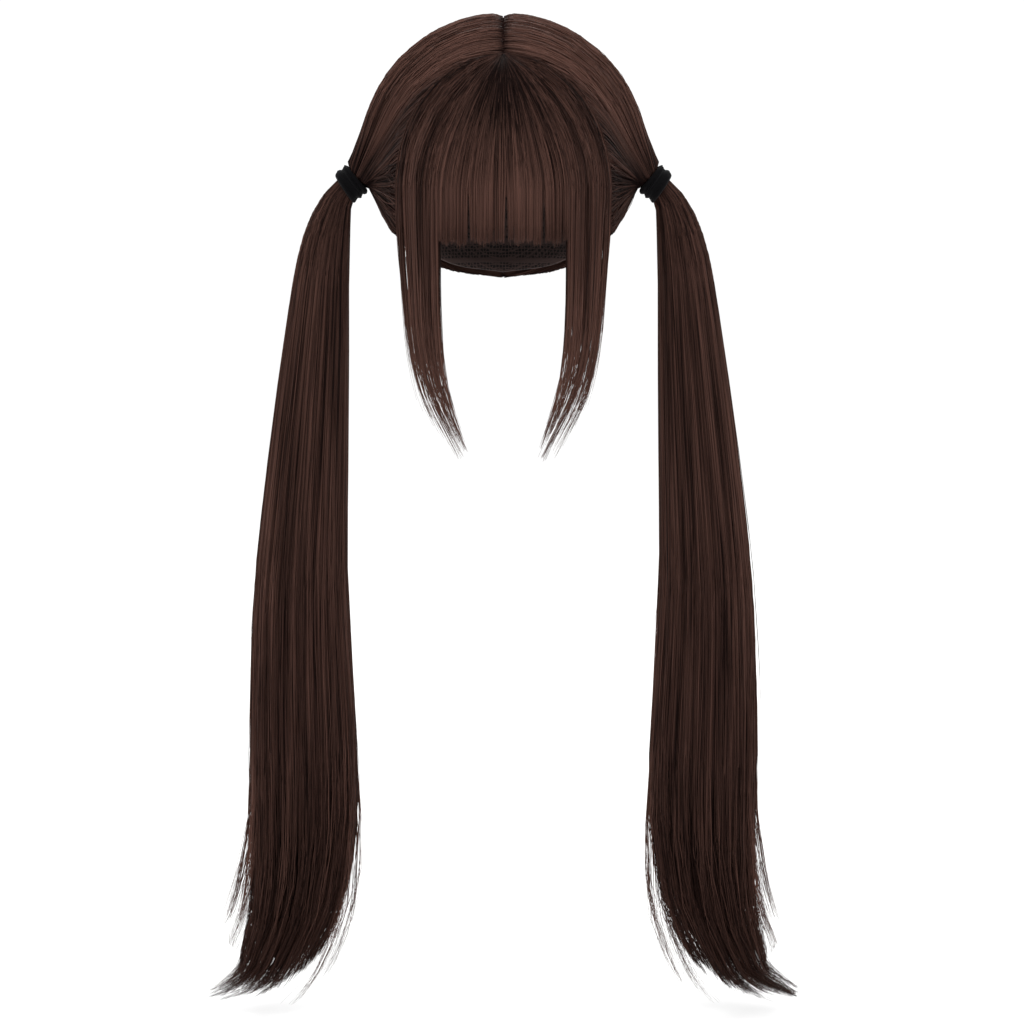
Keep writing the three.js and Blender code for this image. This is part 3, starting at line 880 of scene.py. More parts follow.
def thickness(rng: Chance, along: Array, full: float, tip: float) -> Array:
    """Radii of hairs that taper over their last quarter.

    Args:
        rng: The source of chance.
        along: Shares of the way along each hair.
        full: The middle of their full radius.
        tip: The share that is left at the tip.

    Returns:
        Radii by hair and step.
    """
    own = full * rng.uniform(1 - HAIR_SPREAD, 1 + HAIR_SPREAD, (len(along), 1))
    return own * (1 - (1 - tip) * ease(TAPER_START, 1, along))


def own_tones(rng: Chance, hairs: int, spread: float) -> Array:
    """How much lighter or darker than the rest each hair is, as a column."""
    return rng.normal(0, spread, (hairs, 1))


@dataclass(frozen=True)
class Under:
    """The mass of hair under the strands of a piece, bent from a grid."""

    faces: tuple[int, int]
    wall: float  # 0 for a closed body
    lay: Callable[[Array, Array], Laid]


def dress_in_hair(
    name: str,
    node: str,
    side: Side,
    bundles: Sequence[Strands],
    under: Under,
    rng: Chance,
    hair: HairFinishes,
) -> None:
    """Dresses a solid in its hairs and the mass of hair under them.

    Args:
        name: The name of the piece of hairs.
        node: The solid's node.
        side: The side of the wig, onto which all is mirrored.
        bundles: The hairs, laid on the right side.
        under: The mass under them, laid on the right side.
        rng: The source of chance.
        hair: The hair's finishes.
    """
    strands = strand_piece(name, [bundle.mirrored(side) for bundle in bundles], rng)
    dress(strands, hair.surface, Slot.HAIR, node)

    def lay(across: Array, way: Array) -> Laid:
        """Lays the mass of hair on its side."""
        return under.lay(across, way).mirrored(side)

    base = shell_piece(f"{node}_base", under.faces, lay, under.wall)
    dress(base, hair.under, Slot.HAIR, node)


# Pieces


@dataclass(frozen=True)
class Cap:
    """The close cap of net that carries the hair."""

    wall: float = 0.0015
    flats: tuple[int, int] = (72, 28)

    def lay(self, round_share: Array, down: Array) -> Laid:
        """Places of the cap's outside, from its top to its edge."""
        edge = HEAD.form(0).tilt(-HEAD.edge_drop(round_share * 360))
        points = HEAD.form(self.wall).at(round_share * TURN, down * edge)
        return Laid(points, 0 * points, 0 * down)

    def build(self, net: bpy.types.Material) -> None:
        """Builds the cap and dresses it in net."""
        dress(shell_piece("cap_net", self.flats, self.lay, self.wall), net, Slot.CAP_NET, "wig_cap")


@dataclass(frozen=True)
class Tie:
    """A coiled elastic hair tie round the neck of a tail, on the right side."""

    centre: tuple[float, float, float] = (0.103, 0.01, -0.103)
    slope: float = 40
    neck_radius: float = 0.0073
    clearance: float = 0.0003
    room: float = 1.5  # clearances between the neck and the cord
    cord_radius: float = 0.002
    pitch: float = 0.0032
    turns: int = 4
    neck_spare: float = 0.001
    shoulder: float = 0.0122  # radius of the hair just before the tie, which bulges against it
    cord_sides: int = 14
    steps_per_turn: int = 40
    end_steps: int = 5
    end_move: float = 0.0022  # of a step of the cord's tucked end, round the neck
    end_sink: float = 0.0009  # and towards the neck
    end_taper: float = 0.93
    stray_out: float = 0.0006
    stray_along: float = 0.0007
    waves_out: tuple[float, float] = (2, 0.6)  # round a turn, and on from turn to turn
    waves_along: tuple[float, float] = (1, 0.35)

    @property
    def axis(self) -> Array:
        """The way that the hair runs through the tie."""
        return np.array([math.cos(math.radians(self.slope)), 0, -math.sin(math.radians(self.slope))])

    @property
    def up(self) -> Array:
        """Square to the axis, in the plane of the front."""
        return np.array([-self.axis[2], 0, self.axis[0]])

    @property
    def half(self) -> float:
        """Half the length of the coil."""
        return (self.turns - 1) / 2 * self.pitch + self.cord_radius

    @property
    def course(self) -> float:
        """From the axis to the middle of the cord."""
        return self.neck_radius + self.room * self.clearance + self.cord_radius

    def along(self, distance: Array) -> Array:
        """Places on the axis at distances from the centre."""
        return np.array(self.centre) + self.axis * np.asarray(distance)[..., None]

    def round(self, distance: Array, radius: Array, turn: Array) -> Array:
        """Places round the axis, with turns in radians from the top."""
        spoke = np.cos(turn)[..., None] * self.up + np.sin(turn)[..., None] * BACKWARDS
        return self.along(distance) + np.asarray(radius)[..., None] * spoke

    def around(self, place: Vector) -> tuple[float, Vector, float]:
        """Where a place lies round the axis.

        Args:
            place: The place.

        Returns:
            Its height along the axis, its spoke from the axis and its turn from the top.
        """
        spot = place - Vector(self.centre)
        height = spot.dot(Vector(self.axis))
        spoke = spot - Vector(self.axis) * height
        turn = math.atan2(spoke.dot(Vector(BACKWARDS)), spoke.dot(Vector(self.up)))
        return height, spoke, turn

    def build(self, side: Side, elastic: bpy.types.Material) -> None:
        """Winds the cord round the neck and tucks its ends under the coil.

        Args:
            side: The side of the wig.
            elastic: The cord's finish.
        """
        axis, up = Vector(self.axis), Vector(self.up)
        begin = self.along(-self.half + self.cord_radius)
        frame_of_cord = Matrix((up, axis, Vector(BACKWARDS))).transposed().to_4x4()
        frame_of_cord.translation = Vector(begin) + up * self.course
        bm = bmesh.new()
        ring = bmesh.ops.create_circle(
            bm, segments=self.cord_sides, radius=self.cord_radius, matrix=frame_of_cord
        )["verts"]
        steps = self.steps_per_turn * (self.turns - 1) + self.steps_per_turn // 2
        bmesh.ops.spin(
            bm,
            geom=ring + list({edge for vert in ring for edge in vert.link_edges}),
            cent=Vector(self.centre),
            axis=axis,
            dvec=axis * (self.pitch * (self.turns - 1) / steps),
            angle=TURN * steps / self.steps_per_turn,
            steps=steps,
            use_duplicate=False,
        )
        self.tuck(bm)
        self.loosen(bm)
        self.finish(bm, side, elastic)

    def tuck(self, bm: bmesh.types.BMesh) -> None:
        """Draws the two open ends of the cord under the coil and closes them.

        Args:
            bm: The wound cord.
        """
        for _ in range(self.end_steps):
            rims = [edge for edge in bm.edges if edge.is_boundary]
            grown = bmesh.ops.extrude_edge_only(bm, edges=rims)["geom"]
            verts = [item for item in grown if isinstance(item, bmesh.types.BMVert)]
            centre, axis = Vector(self.centre), Vector(self.axis)
            for end in (-1, 1):
                ring = [v for v in verts if (v.co - centre).dot(axis) * end > 0]
                middle = sum((v.co for v in ring), Vector()) / len(ring)
                spoke = (middle - centre) - axis * (middle - centre).dot(axis)
                onwards = axis.cross(spoke).normalized() * self.end_move * end
                move = onwards - spoke.normalized() * self.end_sink
                for vert in ring:
                    vert.co = middle + (vert.co - middle) * self.end_taper + move
        bmesh.ops.holes_fill(bm, edges=[edge for edge in bm.edges if edge.is_boundary])

    def loosen(self, bm: bmesh.types.BMesh) -> None:
        """Lets the turns of the cord stray a little from an even coil.

        Args:
            bm: The wound cord.
        """
        axis = Vector(self.axis)
        for vert in bm.verts:
            height, spoke, turn = self.around(vert.co)
            wind = height / self.pitch * TURN
            waves, drift = self.waves_out
            vert.co += spoke.normalized() * self.stray_out * math.sin(waves * turn + drift * wind)
            waves, drift = self.waves_along
            vert.co += axis * self.stray_along * math.sin(waves * turn + drift * wind)

    def finish(self, bm: bmesh.types.BMesh, side: Side, elastic: bpy.types.Material) -> None:
        """Gives the cord its UV map in metres and puts it on its side of the wig.

        Args:
            bm: The wound cord.
            side: The side of the wig.
            elastic: The cord's finish.
        """
        layer = bm.loops.layers.uv.new("along_cord")
        for face in bm.faces:
            for loop in face.loops:
                height, spoke, turn = self.around(loop.vert.co)
                loop[layer].uv = (turn * self.course, height + spoke.length)
            face.smooth = True
        if side is Side.LEFT:
            bmesh.ops.scale(bm, verts=bm.verts, vec=(-1, 1, 1))
        bmesh.ops.recalc_face_normals(bm, faces=bm.faces)
        name = f"hair_tie_{side.word}"
        mesh = bpy.data.meshes.new(name)
        bm.to_mesh(mesh)
        bm.free()
        dress(bpy.data.objects.new(name, mesh), elastic, Slot.ELASTIC, f"band_{side.word}")


TIE = Tie()


@dataclass(frozen=True)
class Fan:
    """The fan of hair at the front, which becomes the fringe and the side locks."""

    lift: float = 0.009
    root_thickness: float = 0.0075
    thickness: float = 0.0045
    turn: float = 60
    fringe_turn: float = 31
    start_turn: float = 94
    root_radius: float = 0.005
    reach: float = 0.35
    front_drop: float = 0.0145
    degree: float = 0.0015  # width of a degree of turn at the level of the brow
    relief: float = 0.0007  # depth of the deepest valley between its locks
    base_depth: float = 0.0011  # of the base under the outside
    base_wall: float = 0.0008
    base_root: float = 0.1  # share of the roots' radius at which it starts
    fill: float = 0.75  # share of the thickness that the hairs take up
    crowding: float = 1.6  # power that brings more of the hairs to the outside
    proud: float = 0.0002  # by which the topmost hairs stand over the outside
    valley_way: tuple[float, float] = (0.1, 0.55)  # where the valleys start and have grown
    tone: float = 0.38
    painted_root_shade: float = 0.5  # painted shade on the roots, where the hair lies closest
    root_way: tuple[float, float] = (0.05, 0.42)
    painted_end_light: float = 0.24  # painted light on the ends
    glow_way: tuple[float, float] = (0.35, 0.85)
    side_turns: tuple[float, float] = (8, 40)  # from the middle's painted shade and light to those of the sides
    side_shade: float = 0.75  # share of the painted shade that the sides lack
    side_painted_light: float = 0.3  # share of the painted light that the sides would have alone
    # painted shade in the valleys between the locks, and on the base under the hairs
    painted_valley_shade: float = 0.07
    painted_base_shade: float = 0.16
    own_shade: float = 0.1  # spread of the single hairs

    @property
    def form(self) -> Form:
        """The outside of the fan."""
        return HEAD.form(self.lift)

    def course(self, turn: Array, along: Array, root: Array | float = 1.0) -> Array:
        """Hairs of the fan from the parting to the level where they hang straight down.

        Args:
            turn: Turns from the front, in degrees.
            along: Shares of the way.
            root: How far from the middle of the roots a hair starts, as a share of their radius.

        Returns:
            Places on the outside of the fan.
        """
        form = self.form
        apex = form.at(0.0, form.tilt(-self.front_drop))
        foot = form.at(np.radians(turn), math.pi / 2)
        start_turn = np.radians(turn / self.turn * self.start_turn)
        heading = np.stack([np.sin(start_turn), -np.cos(start_turn), 0 * start_turn], axis=-1)
        start = apex + heading * self.root_radius * np.asarray(root)[..., None]
        pull = np.linalg.norm(foot - apex, axis=-1, keepdims=True) * self.reach
        bend = start + heading * pull
        share = (1 - (1 - along) ** 2)[..., None]
        plan = (1 - share) ** 2 * start + 2 * share * (1 - share) * bend + share**2 * foot
        spare = 1 - (plan[..., 0] / form.radii[0]) ** 2 - (plan[..., 1] / form.radii[1]) ** 2
        plan[..., 2] = form.centre[2] + form.radii[2] * np.sqrt(np.maximum(spare, 0))
        return plan

    def out(self, points: Array) -> Array:
        """The direction out of the fan, which is level where the hair hangs."""
        lifted = points.copy()
        lifted[..., 2] = np.maximum(lifted[..., 2], -HEAD.half_height)
        return self.form.outwards(lifted)

    def depth(self, along: Array, share: Array) -> Array:
        """How deep hairs lie under the outside, from their share of the thickness."""
        return blend(self.root_thickness, self.thickness, np.clip(along, 0, 1)) * share

    def valley(self, locks: Locks, turn: Array, way: Array) -> Array:
        """How deep in a valley between the locks hairs lie, from 0 to 1."""
        return locks.valley(turn) * ease(*self.valley_way, way)

    def tones(self, turn: Array, way: Array) -> Array:
        """How light the fan is: painted shade under the parting, less of it to its sides, and painted
        light at its ends.

        Args:
            turn: Turns from the front, in degrees.
            way: Shares of the way along the hairs.

        Returns:
            The tones.
        """
        middle = 1 - self.side_shade * ease(*self.side_turns, np.abs(turn))
        # painted shade under the parting and painted light at the ends
        shade = self.painted_root_shade * (1 - ease(*self.root_way, way)) * middle
        painted_end_light = self.painted_end_light * ease(*self.glow_way, way) * blend(self.side_painted_light, 1, middle)
        return self.tone - shade + painted_end_light

    def sunk(self, rng: Chance, along: Array) -> Array:
        """How deep hairs lie under the outside, most of them close to it."""
        deep = rng.uniform(0, 1, len(along)) ** self.crowding
        return self.depth(along, deep[:, None] * self.fill)

    def base_tones(self, turn: Array, way: Array, valley: Array) -> Array:
        """How light the base under the hairs is, with painted shade over all of it and more in its
        valleys.
        """
        return self.tones(turn, way) - self.painted_base_shade - self.painted_valley_shade * valley


FAN = Fan()


@dataclass(frozen=True)
class Fringe:
    """The straight cut fringe, which opens a little between a few of its locks."""

    hairs: int = 1750
    steps: int = 12
    locks: int = 19
    valley_width: float = 0.5
    hang: float = 0.032
    on_head: float = 0.78  # share of a hair's steps that lie on the head
    radius: float = 0.00025
    uneven: float = 0.0016
    gaps: tuple[float, ...] = (-16.2, 1.4, 19.4)  # turns at which it opens
    gap_width: float = 0.8
    gap_reach: float = 3.0
    gap_top: float = 0.9  # share of the hang above the cut at which the gaps start, over it
    base_hang: float = 0.025
    base_faces: tuple[int, int] = (60, 30)
    base_gap: float = 2.2  # width of its dips above the gaps
    base_least: float = 0.1  # share of its hang that is left there
    base_length: float = 0.16
    lock_margin: float = 1.0  # degrees by which the locks reach past the fringe's border
    margin: float = 0.8  # and the hairs
    root_spread: float = 1.6  # degrees by which the roots stray
    settled: float = 0.6  # share of the way at which a hair has come to its own turn
    gather: tuple[float, float] = (0.02, 0.1)  # to its lock's middle, all the way and at the ends
    gather_way: tuple[float, float] = (0.7, 1)
    shared: float = 0.0011  # how much the cut differs from lock to lock
    tip: float = 0.45  # share of the radius at the tip

    def build(self, rng: Chance, hair: HairFinishes) -> None:
        """Builds the fringe's hairs and the base under them.

        Args:
            rng: The source of chance.
            hair: The hair's finishes.
        """
        edge = FAN.fringe_turn + self.lock_margin
        locks = Locks.across(rng, -edge, edge, self.locks, self.valley_width)
        hairs = [self.strands(rng, locks)]
        under = Under(self.base_faces, FAN.base_wall, partial(self.lay, locks))
        dress_in_hair("fringe_hair", "fringe", Side.RIGHT, hairs, under, rng, hair)

    def strands(self, rng: Chance, locks: Locks) -> Strands:
        """Works out the hairs.

        Args:
            rng: The source of chance.
            locks: The locks that they lie in.

        Returns:
            The hairs.
        """
        edge = FAN.fringe_turn + self.margin
        own = rng.uniform(-edge, edge, self.hairs)
        way = steps_along(rng, self.hairs, self.steps)
        along, down = over_and_down(way, self.on_head)
        start = own + rng.normal(0, self.root_spread, self.hairs)
        turn = blend(start[:, None], own[:, None], ease(0, self.settled, way))
        gather = self.gather[0] + self.gather[1] * ease(*self.gather_way, way)
        turn = blend(turn, locks.middle(own)[:, None], gather)
        turn += self.opening(turn, way)
        points = FAN.course(turn, along, rng.uniform(0, 1, (self.hairs, 1)))
        shared = rng.normal(0, self.shared, len(locks.borders))[locks.index(own)]
        length = self.hang + shared + rng.normal(0, self.uneven, self.hairs)
        points[..., 2] -= length[:, None] * down
        out = FAN.out(points)
        valley = FAN.valley(locks, own[:, None], way)
        sink = FAN.sunk(rng, along) + FAN.relief * valley - FAN.proud
        points -= out * sink[..., None]
        # painted shade under the parting and in the valleys, painted light at the ends
        tones = FAN.tones(own[:, None], way) - FAN.painted_valley_shade * valley
        tones += own_tones(rng, self.hairs, FAN.own_shade)
        radii = thickness(rng, way, self.radius, self.tip)
        return Strands(points, out, radii, tones, beside(own * FAN.degree))

    def opening(self, turn: Array, way: Array) -> Array:
        """How far the gaps turn the hairs aside, in degrees.

        Args:
            turn: The turns of the hairs before they give way.
            way: Shares of the way along the hairs.

        Returns:
            What is added to the turns.
        """
        grown = ease(self.on_head - self.gap_top * (1 - self.on_head), 1, way)
        shift = np.zeros_like(turn)
        for gap in self.gaps:
            away = turn - gap
            shift += np.sign(away) * self.gap_width * np.exp(-np.abs(away) / self.gap_reach)
        return shift * grown

    def lay(self, locks: Locks, across: Array, way: Array) -> Laid:
        """Lays the base, a shell under the hairs that ends above the cut and above the gaps.

        Args:
            locks: The locks that its relief follows.
            across: Shares of the way across it.
            way: Shares of the way down.

        Returns:
            Its points.
        """
        turn = blend(-FAN.fringe_turn, FAN.fringe_turn, across)
        along, down = over_and_down(way, self.on_head)
        closed = 1 - sum(np.exp(-(((turn - gap) / self.base_gap) ** 2)) for gap in self.gaps)
        points = FAN.course(turn, along, FAN.base_root)
        points[..., 2] -= self.base_hang * down * np.clip(closed, self.base_least, 1)
        valley = FAN.valley(locks, turn, way)
        sink = FAN.base_depth + FAN.relief * valley
        points -= FAN.out(points) * sink[..., None]
        course = level_course(turn * FAN.degree, way * self.base_length)
        # the fan's painted shade and light, with more painted shade on the base and in its valleys
        return Laid(points, course, FAN.base_tones(turn, way, valley))


@dataclass(frozen=True)
class SideLock:
    """A long lock beside the face, dense inside and thin along its outer border."""

    hairs: int = 510
    strays: int = 14
    steps: int = 16
    locks: int = 6
    valley_width: float = 0.8
    hang: float = 0.178
    tip_out: float = 0.030
    tip_front: float = 0.068
    on_head: float = 0.42
    radius: float = 0.00026
    slit: float = 55.0  # turn of the thin slit beside the outermost hairs
    slit_width: float = 1.7
    slit_reach: float = 1.8
    slit_way: tuple[float, float] = (0.44, 0.56)  # where it opens
    slit_close: tuple[float, float] = (0.8, 1)
    base_end: float = 0.5
    base_faces: tuple[int, int] = (22, 40)
    base_on_head: float = 0.6
    base_length: float = 0.26
    base_middle: float = 0.45  # of its place from the inner border to the outer
    base_width: float = 0.88
    base_narrowing: float = 0.34
    base_margin: float = 0.4
    margins: tuple[float, float] = (0.5, 0.6)  # degrees past the borders
    lock_margin: float = 1.0
    root_spread: float = 1.5
    settled: float = 0.5
    gather: tuple[float, float] = (0.04, 0.3)  # to its lock's middle, all the way and at the ends
    gather_way: tuple[float, float] = (0.45, 1)
    stray: float = 0.0011
    stray_in: float = 0.6  # share of it on the inner side
    stray_way: tuple[float, float] = (0.6, 1)
    thin_way: tuple[float, float] = (0.4, 1)  # share of the hang over which the lock thins
    thinning: float = 0.5
    flat_way: tuple[float, float] = (0.7, 1)  # where the valleys end
    shade: float = 0.06
    tip_way: tuple[float, float] = (0.68, 0.92)  # where the thin tips let light through, as painted light
    painted_tip_light: float = 0.5
    tip: float = 0.3
    loose_turns: float = 6  # degrees of the outer border that the strays come from
    loose_lengths: tuple[float, float] = (0.45, 0.95)
    loose_out: tuple[float, float] = (0.001, 0.007)
    loose_power: float = 1.5
    loose_radius: float = 0.6  # share of the other hairs' radius
    loose_shade: float = 0.08
    # painted light on the thin tips of the strays
    painted_loose_light: float = 0.4
    loose_tip: float = 0.4
    lock_ends: tuple[float, float] = (-0.05, 0.03)  # how far the locks' ends differ
    inner_ends: tuple[float, float, float] = (0.97, 0.4, 1.3)  # longest, how much less, power
    outer_ends: tuple[float, float, float] = (1.0, 0.55, 0.9)
    ends_across: tuple[float, float] = (0.2, 0.8)
    ends_range: tuple[float, float] = (0.35, 1.03)

    def build(self, rng: Chance, side: Side, hair: HairFinishes) -> None:
        """Builds the lock's hairs and the base under them.

        Args:
            rng: The source of chance.
            side: The side of the wig.
            hair: The hair's finishes.
        """
        node = f"side_lock_{side.word}"
        edge = FAN.turn + self.lock_margin
        locks = Locks.across(rng, FAN.fringe_turn, edge, self.locks, self.valley_width)
        bundles = [self.strands(rng, locks), self.loose(rng)]
        under = Under(self.base_faces, FAN.base_wall, partial(self.lay, locks))
        dress_in_hair(f"{node}_hair", node, side, bundles, under, rng, hair)

    def course(self, turn: Array, along: Array, down: Array, root: Array | float = 1.0) -> Array:
        """Places on the outside of the lock, on the head and where it hangs.

        Args:
            turn: Turns from the front, in degrees.
            along: Shares of the way over the head.
            down: Shares of the hang.
            root: How far from the middle of the roots a hair starts, as a share of their radius.

        Returns:
            The places.
        """
        points = FAN.course(turn, along, root)
        inner = column(SIDE_LOCK_SECTIONS, "inner", down)
        outer = column(SIDE_LOCK_SECTIONS, "outer", down)
        across = (turn - FAN.fringe_turn) / (FAN.turn - FAN.fringe_turn)
        gathered = blend(inner, outer, across)[..., None]
        tip = np.array([self.tip_out, -self.tip_front, 0.0])
        level = points[..., 2] - self.hang * down
        points = blend(points, tip, gathered)
        points[..., 2] = level
        return points

    def strands(self, rng: Chance, locks: Locks) -> Strands:
        """Works out the hairs.

        Args:
            rng: The source of chance.
            locks: The locks that they lie in.

        Returns:
            The hairs.
        """
        low, high = FAN.fringe_turn + self.margins[0], FAN.turn + self.margins[1]
        spread = rng.uniform(0, 1, self.hairs)
        own = blend(low, high, spread)
        end = self.ends(rng, spread, locks.index(own))
        way = steps_along(rng, self.hairs, self.steps)
        along, down = over_and_down(way, self.on_head)
        down *= end[:, None]
        start = own + rng.normal(0, self.root_spread, self.hairs)
        turn = blend(start[:, None], own[:, None], ease(0, self.settled, way))
        gather = self.gather[0] + self.gather[1] * ease(*self.gather_way, way)
        turn = blend(turn, locks.middle(own)[:, None], gather)
        turn += self.opening(turn, way)
        points = self.course(turn, along, down, rng.uniform(0, 1, (self.hairs, 1)))
        stray = rng.normal(0, 1, (self.hairs, 1)) * self.stray * ease(*self.stray_way, way)
        points[..., 0] += np.where(stray < 0, self.stray_in, 1) * stray
        out = FAN.out(points)
        valley = FAN.valley(locks, own[:, None], way) * (1 - ease(*self.flat_way, way))
        thin = 1 - self.thinning * ease(*self.thin_way, down)
        sink = FAN.sunk(rng, along) * thin - FAN.proud
        points -= out * (sink + FAN.relief * valley)[..., None]
        # painted shade under the parting and in the valleys, painted light at the ends and on the thin
        # tips
        tones = FAN.tones(own[:, None], way) - FAN.painted_valley_shade * valley
        tones += own_tones(rng, self.hairs, FAN.own_shade)
        tones += self.painted_tip_light * ease(*self.tip_way, way) - self.shade
        radii = thickness(rng, way, self.radius, self.tip)
        return Strands(points, out, radii, tones, beside(own * FAN.degree))

    def opening(self, turn: Array, way: Array) -> Array:
        """How far the thin slit turns the hairs aside, in degrees."""
        away = turn - self.slit
        grown = ease(*self.slit_way, way) * (1 - ease(*self.slit_close, way))
        return np.sign(away) * self.slit_width * np.exp(-np.abs(away) / self.slit_reach) * grown

    def loose(self, rng: Chance) -> Strands:
        """Works out the few stray hairs outside the lock.

        Args:
            rng: The source of chance.

        Returns:
            The stray hairs.
        """
        own = rng.uniform(FAN.turn - self.loose_turns, FAN.turn, self.strays)
        way = steps_along(rng, self.strays, self.steps)
        along, down = over_and_down(way, self.on_head)
        down *= rng.uniform(*self.loose_lengths, (self.strays, 1))
        turn = np.broadcast_to(own[:, None], way.shape)
        points = self.course(turn, along, down)
        lift = rng.uniform(*self.loose_out, (self.strays, 1))
        points[..., 0] += lift * down**self.loose_power
        out = FAN.out(points)
        # the fan's painted shade and light, and painted light on the thin tips
        tones = FAN.tones(own[:, None], way) + own_tones(rng, self.strays, self.loose_shade)
        tones += self.painted_loose_light * ease(*self.tip_way, way)
        radii = thickness(rng, way, self.radius * self.loose_radius, self.loose_tip)
        return Strands(points, out, radii, tones, beside(own * FAN.degree))

    def ends(self, rng: Chance, spread: Array, lock: Array) -> Array:
        """Where the hairs end, as shares of the hang.

        Args:
            rng: The source of chance.
            spread: Places of the hairs from the inner to the outer border.
            lock: The lock that each hair is in.

        Returns:
            Their ends: many of the inner ones are long, and most of the outer ones are shorter.
        """
        shared = rng.uniform(*self.lock_ends, lock.max() + 1)[lock]
        reach = rng.uniform(0, 1, self.hairs)
        inner, outer = (
            longest - less * reach**power for longest, less, power in (self.inner_ends, self.outer_ends)
        )
        ends = blend(inner, outer, ease(*self.ends_across, spread)) + shared
        return np.clip(ends, *self.ends_range)

    def lay(self, locks: Locks, across: Array, way: Array) -> Laid:
        """Lays the base, a shell under the hairs down to where they thin out.

        Args:
            locks: The locks that its relief follows.
            across: Shares of the way across it.
            way: Shares of the way down.

        Returns:
            Its points.
        """
        along, down = over_and_down(way, self.base_on_head)
        down *= self.base_end
        width = self.base_width - self.base_narrowing * ease(0, self.base_end, down)
        narrowed = self.base_middle + (across - 0.5) * width
        turn = blend(FAN.fringe_turn + self.base_margin, FAN.turn, narrowed)
        points = self.course(turn, along, down, FAN.base_root)
        valley = FAN.valley(locks, turn, way)
        points -= FAN.out(points) * (FAN.base_depth + FAN.relief * valley)[..., None]
        course = level_course(turn * FAN.degree, way * self.base_length)
        # the fan's painted shade and light, with more painted shade on the base and in its valleys
        return Laid(points, course, FAN.base_tones(turn, way, valley))


